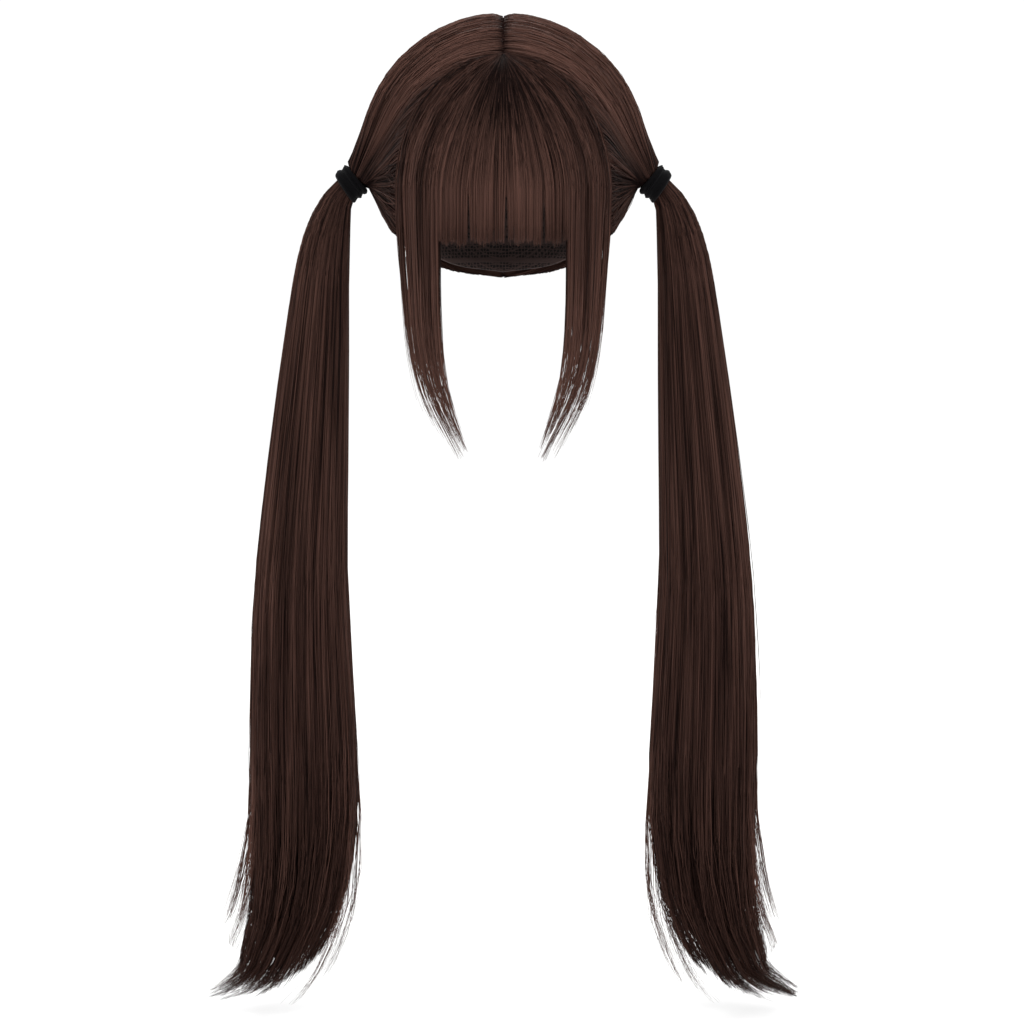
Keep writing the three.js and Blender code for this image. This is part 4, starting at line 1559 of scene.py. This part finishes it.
@dataclass(frozen=True)
class Crown:
    """The hair of one half that is swept from the parting and the lower edge to the tie."""

    side_lift: float = 0.022
    back_lift: float = 0.015
    front_lift: float = 0.005
    top_lift: float = 0.0115
    level: float = 0.085
    tight_lift: float = 0.008
    overhang: float = 0.005
    temple_overhang: float = 0.028  # more before the ear, where short hair is drawn up
    dip: float = 0.0024
    slope: float = 0.1
    softness: float = 0.16
    neck_pull: float = 0.25
    tries: int = 20  # places on the way where a hair may leave the head
    front_turn: float = -95
    nape_turn: float = 130
    temple_turn: float = 228
    border_turn: float = 58
    temple_share: float = 0.3  # of the front border, which comes down to the lower edge
    parting_end: float = 0.6  # share of the starts that lie on the parting
    edge_end: float = 0.86
    girth: float = 0.62  # length of all the starts, round the half
    grid: int = 480
    hairs: int = 1780
    strays: int = 14
    steps: int = 14
    locks: int = 44
    valley_width: float = 0.0045
    relief: float = 0.0016
    base_depth: float = 0.0009
    base_wall: float = 0.001
    base_faces: tuple[int, int] = (150, 30)
    base_length: float = 0.22
    base_neck: float = 0.6  # share of the neck's radius at which it ends
    base_overlap: float = 0.0007  # over the middle, so that no light comes through
    radius: float = 0.0003
    last_place: float = 0.999
    front_more: float = 0.16  # share of the hairs that are moved to the front border
    front_from: float = 0.8
    gather: float = 0.22
    drift: float = 0.004
    spread: float = 0.0017  # depth of the mass of hairs
    proud: float = 0.0002
    crowding: float = 1.5
    neck_depth: float = 0.4
    stray_lift: tuple[float, float] = (0.0005, 0.0022)
    stray_radius: float = 0.55
    edge_sink: float = 0.0006  # where the hairs come out from under the lower edge
    edge_way: float = 0.12
    close_way: tuple[float, float] = (0.9, 1)  # where all the hairs close on the neck
    part_gap: tuple[float, float] = (0.0003, 0.0011)  # from the middle to the roots
    in_tie: float = 0.95  # share of the neck's radius
    to_tie: float = 0.0026
    temple_edge: tuple[float, float] = (64, 12)  # turn and width of the raised temple
    tone: float = 0.58
    painted_top_highlight: float = 0.22  # painted highlight on the top
    # painted shade at the roots, at the tie, and on the hair from the lower edge and the temple
    painted_root_shade: float = 0.4
    painted_tie_shade: float = 0.46
    painted_back_shade: float = 0.16
    crest_grows: tuple[float, float] = (0, 0.2)  # shares of the way to the tie
    crest_fades: tuple[float, float] = (0.3, 0.65)
    root_end: float = 0.04
    tie_way: tuple[float, float] = (0.62, 1)
    temple_starts: tuple[float, float] = (0.76, 0.84)  # shares round the half, for the temple's painted shade
    temple_ends: tuple[float, float] = (0.93, 0.99)
    back_full: float = 0.75
    # painted shade in the valleys between the locks, and on the base under the hairs
    painted_valley_shade: float = 0.12
    painted_base_shade: float = 0.2
    own_shade: float = 0.1

    @property
    def full(self) -> Form:
        """The outside of the hair where it has its full bulk."""
        centre = np.array([0, (self.back_lift - self.front_lift) / 2, -self.level])
        depth = HEAD.half_depth + (self.back_lift + self.front_lift) / 2
        return Form(
            centre, np.array([HEAD.half_width + self.side_lift, depth, self.level + self.top_lift])
        )

    def edge_level(self, turn: Array) -> Array:
        """How high the lower edge of the hair is, at turns in degrees."""
        middle, width = self.temple_edge
        temple = np.exp(-(((turn - middle) / width) ** 2))
        return -HEAD.edge_drop(turn) - self.overhang - self.temple_overhang * temple

    def rim(self) -> dict[str, Array]:
        """Works out where the hairs start, in order round the half.

        Returns:
            For each start its place, form, bulk and turn on the neck of the tie.
        """
        tight, full = HEAD.form(self.tight_lift), self.full
        place = np.linspace(0, 1, self.grid)
        along = np.clip(place / self.parting_end, 0, 1)
        back = np.clip((place - self.parting_end) / (self.edge_end - self.parting_end), 0, 1)
        lift = np.clip((place - self.edge_end) / (1 - self.edge_end), 0, 1)
        on_parting, on_edge = place < self.parting_end, place < self.edge_end
        bulk = np.where(on_parting, column(PARTING_BULK, "bulk", along), 0)
        centre = blend(tight.centre, full.centre, bulk[:, None])
        radii = blend(tight.radii, full.radii, bulk[:, None])
        front = tight.tilt(-FAN.front_drop)
        nape = -tight.tilt(self.edge_level(np.array(180.0)))
        turn = blend(180, self.border_turn, back)
        edge_tilt = tight.tilt(self.edge_level(turn))
        border = FAN.course(np.full_like(lift, self.border_turn), 1 - lift)
        temple = self.edge_level(np.array(self.border_turn)) + HEAD.half_height
        border[:, 2] += temple * (1 - ease(0, self.temple_share, lift))
        start = np.where(
            on_parting[:, None],
            Form(centre, radii).at(0.0, blend(front, nape, along)),
            np.where(
                on_edge[:, None], tight.at(np.radians(turn), edge_tilt), tight.pushed(border, 1.0)
            ),
        )
        neck = np.where(
            on_parting,
            blend(self.front_turn, self.nape_turn, along),
            np.where(
                on_edge,
                blend(self.nape_turn, self.temple_turn, back),
                blend(self.temple_turn, self.front_turn + 360, lift),
            ),
        )
        return {"start": start, "centre": centre, "radii": radii, "bulk": bulk, "neck": neck}

    def course(self, place: Array, along: Array, neck_share: Array) -> tuple[Array, Array]:
        """Places on the outside of the swept hair, which leaves the head as taut hair does.

        Args:
            place: Where the hairs start, as shares round the half.
            along: Shares of the way to the tie.
            neck_share: How far out on the neck the hairs arrive, as a share of its radius.

        Returns:
            The places and the directions out of the hair.
        """
        rim = self.rim()
        grid = np.linspace(0, 1, self.grid)

        def read(values: Array) -> Array:
            """Reads values of the rim at the hairs' places."""
            if values.ndim == 1:
                return np.interp(place, grid, values)
            return np.stack([np.interp(place, grid, part) for part in values.T], axis=-1)

        start, form = read(rim["start"]), Form(read(rim["centre"]), read(rim["radii"]))
        turn = np.radians(read(rim["neck"]))
        reach = -TIE.half - TIE.neck_spare
        neck = TIE.round(np.full_like(turn, reach), TIE.shoulder * neck_share, turn)
        run = neck - start
        straight = np.linalg.norm(run, axis=-1, keepdims=True)
        bulk = read(rim["bulk"])[..., None]

        def over_head(share: Array) -> Array:
            """Places of hair that lies on the form.

            Args:
                share: Shares of the way.

            Returns:
                The places.
            """
            a = share[..., None]
            b = 1 - a
            spots = start * (1 + 2 * a) * b**2 + run * a * b**2 + neck * a**2 * (3 - 2 * a)
            spots -= TIE.axis * a**2 * b * straight * self.neck_pull
            out = form.reach(spots)
            wanted = (out + 1 + np.hypot(out - 1, self.softness * a * b)) / 2
            dip = self.dip * bulk * np.maximum(0, 1 - a / self.slope) ** 2
            return form.pushed(spots, wanted - dip / form.radii[..., 2:])

        leave = np.zeros_like(along)
        before = np.full_like(along, TINY)
        for number in range(self.tries):
            spots = over_head(np.full_like(along, number / self.tries))
            room = np.sum((neck - spots) * form.outwards(spots), axis=-1)
            share = (number - room / np.where(room == before, 1, room - before)) / self.tries
            leave = np.where((before <= 0) & (room > 0), share, leave)
            before = room
        taut = np.clip((along - leave) / (1 - leave), 0, 1)[..., None]
        points = blend(over_head(np.minimum(along, leave)), neck, taut)
        return points, form.outwards(points)

    def valley(self, locks: Locks, place: Array, along: Array) -> Array:
        """How deep in a valley between the locks hairs lie, from 0 to 1."""
        return locks.valley(place) * np.sin(math.pi * np.clip(along, 0, 1)) ** 0.7

    def tones(self, place: Array, along: Array) -> Array:
        """How light the hair is: a painted highlight on the top, and painted shade at the roots, the
        tie, the back and the temple.

        Args:
            place: Where the hairs start, as shares round the half.
            along: Shares of the way to the tie.

        Returns:
            The tones.
        """
        # painted highlight on the top; painted shade at the roots, the tie, the back and the temple
        on_top = 1 - ease(self.parting_end / 2, self.parting_end, place)
        painted_top_highlight = ease(*self.crest_grows, along) * (1 - ease(*self.crest_fades, along)) * on_top
        dark = self.painted_root_shade * (1 - ease(0, self.root_end, along))
        dark += self.painted_tie_shade * ease(*self.tie_way, along)
        temple = ease(*self.temple_starts, place) * (1 - ease(*self.temple_ends, place))
        back = ease(self.parting_end, self.back_full, place)
        return self.tone + self.painted_top_highlight * painted_top_highlight - dark - self.painted_back_shade * (back + temple)

    def strands(self, rng: Chance, locks: Locks) -> Strands:
        """Works out the hairs.

        Args:
            rng: The source of chance.
            locks: The locks that they lie in.

        Returns:
            The hairs, from their starts into the tie.
        """
        count = self.hairs + self.strays
        own = rng.uniform(0, self.last_place, count)
        moved = rng.uniform(0, 1, count) < self.front_more
        own = np.where(moved, blend(self.front_from, self.last_place, own), own)
        way = steps_along(rng, count, self.steps - 1)
        along = blend(way, (1 - np.cos(math.pi * way)) / 2, 0.4)
        swell = np.sin(math.pi * along)
        place = blend(own[:, None], locks.middle(own)[:, None], self.gather * swell)
        place = place + rng.normal(0, self.drift, (count, 1)) * swell
        deep = rng.uniform(0, 1, count) ** self.crowding
        neck_share = (1 - self.neck_depth * deep)[:, None] * np.ones_like(along)
        points, out = self.course(np.clip(place, 0, 1), along, neck_share)
        stray = np.where(np.arange(count) < self.hairs, 0, rng.uniform(*self.stray_lift, count))
        valley = self.valley(locks, own[:, None], along)
        sink = (deep * self.spread - self.proud)[:, None] - stray[:, None] * swell**2
        sink = sink + self.relief * valley
        edge = (own > self.parting_end)[:, None]
        sink = sink + np.where(edge, self.edge_sink * (1 - ease(0, self.edge_way, along)), 0)
        points = points - out * (sink * (1 - ease(*self.close_way, along)))[..., None]
        root = rng.uniform(*self.part_gap, (count, 1))
        points[..., 0] = np.maximum(points[..., 0], root)
        before = TIE.along(np.array([-TIE.half - TIE.neck_spare]))
        narrowed = self.in_tie * TIE.neck_radius / TIE.shoulder
        inside = before + (points[:, -1:] - before) * narrowed + TIE.axis * self.to_tie
        points = np.concatenate([points, inside, inside + TIE.axis * TIE.half], axis=1)
        out = np.concatenate([out, out[:, -1:], out[:, -1:]], axis=1)
        # painted shade in the valleys between the locks
        tones = self.tones(own[:, None], along) - self.painted_valley_shade * valley
        tones += own_tones(rng, count, self.own_shade)
        tones = np.concatenate([tones, tones[:, -1:], tones[:, -1:]], axis=1)
        radii = thickness(rng, 0 * tones, self.radius, 1)
        radii[self.hairs :] *= self.stray_radius
        return Strands(points, out, radii, tones, beside(own * self.girth))

    def lay(self, locks: Locks, place: Array, way: Array) -> Laid:
        """Lays the base, a shell under the hairs from their starts to the neck.

        Args:
            locks: The locks that its relief follows.
            place: Shares round the half.
            way: Shares of the way to the tie.

        Returns:
            Its points, which reach a little over the middle so that no light comes through.
        """
        along = (1 - np.cos(math.pi * way)) / 2
        neck_share = np.full_like(along, self.base_neck)
        points, out = self.course(place * self.last_place, along, neck_share)
        valley = self.valley(locks, place, along)
        sink = (self.base_depth + self.relief * valley) * (1 - ease(0.85, 1, along))
        points = points - out * sink[..., None]
        overlap = self.base_overlap * (1 - ease(0, 0.03, along))
        points[..., 0] -= overlap * (place < self.parting_end)
        # painted shade over all of the base and more in its valleys
        tones = self.tones(place, along) - self.painted_base_shade - self.painted_valley_shade * valley
        return Laid(points, level_course(place * self.girth, along * self.base_length), tones)

    def build(self, rng: Chance, side: Side, hair: HairFinishes) -> None:
        """Builds the half's hairs and the base under them.

        Args:
            rng: The source of chance.
            side: The side of the wig.
            hair: The hair's finishes.
        """
        node = f"crown_hair_{side.word}"
        locks = Locks.across(rng, 0, 1, self.locks, self.valley_width)
        bundles = [self.strands(rng, locks)]
        under = Under(self.base_faces, self.base_wall, partial(self.lay, locks))
        dress_in_hair(f"{node}_swept", node, side, bundles, under, rng, hair)


@dataclass(frozen=True)
class Tail:
    """A pigtail: hairs in locks that hang from the tie and sweep outwards at their tips."""

    length: float = 0.553  # the tips hang a little past the solid
    swing: float = 0.0926
    half_width: float = 0.037
    half_depth: float = 0.023
    hairs: int = 1920
    strays: int = 44
    steps: int = 15
    locks: int = 24
    valley_width: float = 0.011
    relief: float = 0.06  # depth of the deepest valley, as a share of the section
    radius: float = 0.00024
    inside_tie: float = 0.012  # share of the length by which a hair starts inside the tie
    girth: float = 0.031  # mean radius
    loosens: float = 0.7  # share of the length at which the hairs start to fill the whole section
    base_size: float = 0.95
    base_end: float = 0.95
    base_faces: tuple[int, int] = (96, 60)
    skin: float = 0.09  # share of the section in which the outer hairs lie
    gather_tips: float = 0.6
    tone: float = 0.32
    # painted light on the outer and inner sides
    painted_outer_light: float = 0.14
    painted_inner_light: float = 0.06
    # painted shade at the tie and near the tips
    painted_tie_shade: float = 0.12
    painted_low_shade: float = 0.09
    # painted shade in the valleys between the locks, and on the base inside the hairs
    painted_valley_shade: float = 0.14
    painted_base_shade: float = 0.16
    own_shade: float = 0.08
    # painted light on the thin ends of the wisps
    painted_wisp_light: float = 0.5
    wisp_shade: float = 0.1
    wisp_radius: float = 0.75
    tip: float = 0.3
    lock_ends: tuple[float, float] = (-0.01, 0.007)  # how far the clumps' ends differ
    uneven: float = 0.01
    early: float = 0.14  # share of the hairs that end early
    early_ends: tuple[float, float] = (0.86, 0.99)

    def middle(self, down: Array) -> Array:
        """Places of the tail's middle.

        Args:
            down: Shares of the length, below 0 inside the tie.

        Returns:
            The places.
        """
        start = TIE.half + TIE.neck_spare
        inside = TIE.along(start + np.minimum(down, 0) * self.length)
        below = np.maximum(down, 0)
        move = np.zeros(np.shape(down) + (3,))
        move[..., 0] = self.swing * column(TAIL_SECTIONS, "out", below)
        move[..., 2] = -self.length * below
        return inside + move

    def section(self, down: Array, across: Array, depth: Array) -> Array:
        """Places in the tail's sections, which are square to its course.

        Args:
            down: Shares of the length.
            across: Shares of the half width, outwards.
            depth: Shares of the half depth, to the back.

        Returns:
            The places.
        """
        near = 0.004
        low = np.minimum(down, 1)
        course = unit(self.middle(np.minimum(low + near, 1)) - self.middle(low - near))
        outwards = np.stack([-course[..., 2], 0 * down, course[..., 0]], axis=-1)
        wide = blend(TIE.neck_radius, self.half_width, column(TAIL_SECTIONS, "wide", down))
        deep = blend(TIE.neck_radius, self.half_depth, column(TAIL_SECTIONS, "deep", down))
        past = course * (np.maximum(down - 1, 0) * self.length)[..., None]
        place = self.middle(low) + past + outwards * (wide * across)[..., None]
        return place + BACKWARDS * (deep * depth)[..., None]

    def down(self, way: Array, end: Array) -> Array:
        """Shares of the length at steps that lie closer together at the tie and at the tips."""
        even = way**1.25
        return blend(-self.inside_tie, end[:, None], even * even * (3 - 2 * even))

    def loose_share(self, down: Array) -> Array:
        """How far the hairs have come from the outside to filling the whole section."""
        return ease(self.loosens, 0.96, down)

    def valley(self, locks: Locks, place: Array, down: Array) -> Array:
        """How deep in a valley between the locks hairs lie, from 0 to 1."""
        return locks.valley(place) * ease(0.02, 0.15, down) * (1 - self.loose_share(down))

    def tones(self, across: Array, down: Array) -> Array:
        """How light the hair is: painted light at the outer and inner sides, painted shade at the tie
        and near the tips.
        """
        sides = self.painted_outer_light * ease(0.3, 0.95, across) + self.painted_inner_light * ease(0.7, 1, -across)
        dark = self.painted_tie_shade * (1 - ease(0, 0.1, down)) + self.painted_low_shade * ease(0.5, 0.9, down)
        return self.tone + sides - dark

    def strands(self, rng: Chance, locks: Locks) -> Strands:
        """Works out the hairs of the body.

        Args:
            rng: The source of chance.
            locks: The locks round the body.

        Returns:
            The hairs, without strays and wisps.
        """
        own = rng.uniform(0, 1, self.hairs)
        way = steps_along(rng, self.hairs, self.steps)
        surface = 1 - self.skin * rng.uniform(0, 1, (self.hairs, 1)) ** 1.5
        filled = np.sqrt(rng.uniform(0, 1.15, (self.hairs, 1)))
        clump = locks.index(own) * 2 + (filled[:, 0] > 0.68)
        facing = filled[:, 0] * np.cos(TURN * own)
        down = self.down(way, self.ends(rng, facing, clump))
        turn = blend(own[:, None], locks.middle(own)[:, None], 0.1 + 0.2 * ease(0.6, 1, way))
        turn = (turn + self.sway(rng, way, locks.index(own))) * TURN
        size = blend(surface, filled, self.loose_share(down))
        valley = self.valley(locks, own[:, None], down)
        size = size - self.relief * valley
        spot = size[..., None] * np.stack([np.cos(turn), np.sin(turn)], axis=-1)
        gather = self.gather_tips * ease(0.8, 1, way)[..., None]
        spot = blend(spot, self.gathered(spot[:, -1], clump), gather)
        points = self.section(down, spot[..., 0], spot[..., 1])
        # painted light at the sides, painted shade at the tie, near the tips and in the valleys
        tones = self.tones(spot[..., 0], down) - self.painted_valley_shade * valley
        tones += own_tones(rng, self.hairs, self.own_shade)
        out = np.broadcast_to(BACKWARDS, points.shape)
        radii = thickness(rng, way, self.radius, self.tip)
        return Strands(points, out, radii, tones, self.girth * spot[:, self.steps // 2])

    def gathered(self, tips: Array, clump: Array) -> Array:
        """Where the hairs of each clump meet at the tips.

        Args:
            tips: Where the hairs would end in the section.
            clump: The clump that each hair is in.

        Returns:
            The middle of each hair's clump, with a step between.
        """
        count = np.maximum(np.bincount(clump), 1)
        middles = np.stack([np.bincount(clump, weights=part) / count for part in tips.T], axis=-1)
        return middles[clump][:, None]

    def sway(self, rng: Chance, way: Array, lock: Array) -> Array:
        """Slow waves of the locks and of the single hairs round the body, in shares of a turn.

        Args:
            rng: The source of chance.
            way: Shares of the way along the hairs.
            lock: The lock that each hair is in.

        Returns:
            What is added to the hairs' places round the body.
        """
        hairs = len(way)
        free = ease(0.1, 0.5, way)
        own = rng.uniform(0, TURN, (hairs, 1))
        quick = rng.uniform(5, 11, (hairs, 1))
        shared = rng.uniform(0, TURN, (lock.max() + 1, 1))[lock]
        return (0.004 * np.sin(5 * way + shared) + 0.005 * np.sin(quick * way + own)) * free

    def ends(self, rng: Chance, across: Array, clump: Array) -> Array:
        """Where the hairs end: the inner ones earlier, and a few well above the tips.

        Args:
            rng: The source of chance.
            across: Places of the hairs across the tail at the tips.
            clump: The clump that each hair is in.

        Returns:
            Shares of the length.
        """
        full = np.interp(across, [-1, -0.5, 0, 0.5, 1], [0.932, 0.97, 0.995, 1.002, 0.99])
        count = len(across)
        shared = rng.uniform(*self.lock_ends, clump.max() + 1)[clump]
        own = -np.abs(rng.normal(0, self.uneven, count))
        early = rng.uniform(0, 1, count) < self.early
        return (full + shared + own) * np.where(early, rng.uniform(*self.early_ends, count), 1)

    def loose(self, rng: Chance, rows: Sequence[WispRow]) -> list[Strands]:
        """Works out the wisps and the single stray hairs.

        Args:
            rng: The source of chance.
            rows: The wisps of this tail.

        Returns:
            One bundle for each wisp and one for the strays.
        """
        bundles = []
        for row in rows:
            way = steps_along(rng, row.hairs, self.steps)
            end = row.end - np.abs(rng.normal(0, 0.02, row.hairs))
            down = self.down(way, end)
            tight = 0.15 * (1 - 0.55 * ease(0.6, 1, way))
            leave = row.drift * ease(row.leaves, 1.0, down) * rng.uniform(0.8, 1.1, (row.hairs, 1))
            across = row.across + rng.normal(0, 1, (row.hairs, 1)) * tight
            depth = row.depth + rng.normal(0, 1, (row.hairs, 1)) * tight
            inside = np.minimum(1, 0.97 / np.hypot(across, depth))
            bundles.append(self.bundle(rng, way, down, across * inside + leave * 1.6, depth * inside))
        way = steps_along(rng, self.strays, self.steps)
        down = self.down(way, rng.uniform(0.5, 0.98, self.strays))
        turn = rng.uniform(0, TURN, (self.strays, 1))
        leaves = rng.uniform(0.25, 0.75, (self.strays, 1))
        lift = np.minimum(rng.exponential(0.05, (self.strays, 1)), 0.2)
        size = 0.99 + lift * np.clip((way - leaves) / (1 - leaves), 0, 1) ** 1.5
        across, depth = size * np.cos(turn), size * np.sin(turn)
        bundles.append(self.bundle(rng, way, down, across, depth))
        return bundles

    def bundle(
        self, rng: Chance, way: Array, down: Array, across: Array, depth: Array
    ) -> Strands:
        """Thin hairs through places in the tail's sections.

        Args:
            rng: The source of chance.
            way: Shares of the way along the hairs.
            down: Shares of the tail's length.
            across: Shares of the half width.
            depth: Shares of the half depth.

        Returns:
            The hairs.
        """
        points = self.section(down, across, depth + 0 * across)
        radii = thickness(rng, way, self.radius * self.wisp_radius, self.tip)
        # painted light at the sides and on the wisps' thin ends, painted shade at the tie and near the
        # tips
        tones = self.tones(across, down) + self.painted_wisp_light * ease(0.6, 0.85, down)
        tones = tones + own_tones(rng, len(way), self.wisp_shade)
        spot = np.stack([across[:, 0], depth[:, 0]], axis=-1) * self.girth
        return Strands(points, np.broadcast_to(BACKWARDS, points.shape), radii, tones, spot)

    def lay(self, locks: Locks, place: Array, way: Array) -> Laid:
        """Lays the base, a closed body inside the tail that ends above its tips.

        Args:
            locks: The locks round the body.
            place: Shares of a turn round it.
            way: Shares of the way down.

        Returns:
            Its points.
        """
        down = way * self.base_end
        left = np.sqrt(np.clip((self.base_end - down) / (self.base_end - self.loosens), 0, 1))
        valley = self.valley(locks, place, down)
        size = (self.base_size - self.relief * valley) * left * (way > 0)
        turn = place * TURN
        spoke = np.stack([np.cos(turn), np.sin(turn)], axis=-1)
        points = self.section(down, size * spoke[:, 0], size * spoke[:, 1])
        course = np.concatenate([self.girth * spoke, (down * self.length)[:, None]], axis=-1)
        # painted shade over all of the base and more in its valleys
        tones = self.tones(spoke[:, 0], down) - self.painted_base_shade - self.painted_valley_shade * valley
        return Laid(points, course, tones)

    def build(self, rng: Chance, side: Side, hair: HairFinishes) -> None:
        """Builds the tail's hairs and the base inside them.

        Args:
            rng: The source of chance.
            side: The side of the wig.
            hair: The hair's finishes.
        """
        node = f"tail_{side.word}"
        locks = Locks.around(rng, self.locks, self.valley_width)
        bundles = [self.strands(rng, locks), *self.loose(rng, WISPS[side])]
        under = Under(self.base_faces, 0, partial(self.lay, locks))
        dress_in_hair(f"{node}_hair", node, side, bundles, under, rng, hair)


# Studio


@dataclass(frozen=True)
class Softbox:
    """A large area light that looks at the wig."""

    name: str
    place: tuple[float, float, float]
    size: float
    power: float


@dataclass(frozen=True)
class Studio:
    """A plain pale floor, soft light from all sides and a camera at head level."""

    aim: tuple[float, float, float] = (0.0058, 0.0, -0.3252)
    distance: float = 4.0
    elevation: float = 5.3
    frame_width: float = 0.6935  # of the picture, in the plane of the wig
    sensor: float = 36.0
    floor_radius: float = 14.0
    floor_gap: float = 0.012  # from the tips down to the floor
    sky: str = "#ffffff"
    sky_power: float = 1.06
    lights: tuple[Softbox, ...] = (
        Softbox("key_softbox", (-0.9, -2.0, 1.5), 1.6, 26.0),
        Softbox("fill_softbox", (1.3, -1.9, 1.0), 1.6, 18.0),
        Softbox("back_softbox", (0.0, 2.2, 1.8), 1.8, 20.0),
    )

    def build(self) -> None:
        """Lays the floor, hangs the lights and sets up the camera."""
        self.lay_floor()
        self.light()
        self.set_camera()

    def lay_floor(self) -> None:
        """Lays a wide round floor a little under the tips."""
        bm = bmesh.new()
        bmesh.ops.create_circle(bm, cap_ends=True, segments=96, radius=self.floor_radius)
        level = CAD_BOX[0].z - self.floor_gap
        bmesh.ops.translate(bm, verts=bm.verts, vec=(0, 0, level))
        mesh = bpy.data.meshes.new("studio_floor")
        bm.to_mesh(mesh)
        bm.free()
        floor = bpy.data.objects.new("studio_floor", mesh)
        floor.data.materials.append(StudioFloor().material())
        bpy.context.scene.collection.objects.link(floor)

    def light(self) -> None:
        """Sets the pale surroundings and the softboxes."""
        world = bpy.data.worlds.new("studio")
        world.use_nodes = True
        background = world.node_tree.nodes["Background"]
        background.inputs["Color"].default_value = linear(self.sky)
        background.inputs["Strength"].default_value = self.sky_power
        bpy.context.scene.world = world
        for box in self.lights:
            lamp = bpy.data.lights.new(box.name, "AREA")
            lamp.shape = "SQUARE"
            lamp.size = box.size
            lamp.energy = box.power
            light = bpy.data.objects.new(box.name, lamp)
            light.location = box.place
            course = Vector(self.aim) - Vector(box.place)
            light.rotation_euler = course.to_track_quat("-Z", "Y").to_euler()
            bpy.context.scene.collection.objects.link(light)
        settings = bpy.context.scene.view_settings
        settings.view_transform = "Standard"
        settings.look = "None"

    def set_camera(self) -> None:
        """Sets the camera at the picture's angle, with the picture's width in view."""
        rise = math.radians(self.elevation)
        back = Vector((0, -math.cos(rise), math.sin(rise))) * self.distance
        data = bpy.data.cameras.new("camera")
        data.sensor_width = self.sensor
        data.lens = self.sensor * self.distance / self.frame_width
        camera = bpy.data.objects.new("camera", data)
        camera.location = Vector(self.aim) + back
        camera.rotation_euler = (-back).to_track_quat("-Z", "Y").to_euler()
        bpy.context.scene.collection.objects.link(camera)
        bpy.context.scene.camera = camera


@dataclass(frozen=True)
class Wig:
    """The whole wig, piece by piece."""

    seed: int = 20
    cap: Cap = Cap()
    fringe: Fringe = Fringe()
    side_lock: SideLock = SideLock()
    crown: Crown = Crown()
    tail: Tail = Tail()

    def rng(self, piece: int) -> Chance:
        """The source of chance for one piece, the same in each run."""
        return np.random.default_rng([self.seed, piece])

    def build(self) -> None:
        """Builds all pieces in their finishes."""
        under = SyntheticHair(name="fibre_under_the_surface", specular=0.0)
        hair = HairFinishes(SyntheticHair().material(), under.material())
        elastic = KnittedElastic().material()
        self.cap.build(StretchNet().material())
        self.fringe.build(self.rng(0), hair)
        for number, side in enumerate(Side):
            self.side_lock.build(self.rng(10 + number), side, hair)
            self.crown.build(self.rng(20 + number), side, hair)
            self.tail.build(self.rng(30 + number), side, hair)
            TIE.build(side, elastic)


def main() -> None:
    """Builds the studio and the wig."""
    logging.basicConfig(level=logging.INFO, format="%(name)s: %(message)s")
    Studio().build()
    Wig().build()


if __name__ == "__main__":
    main()
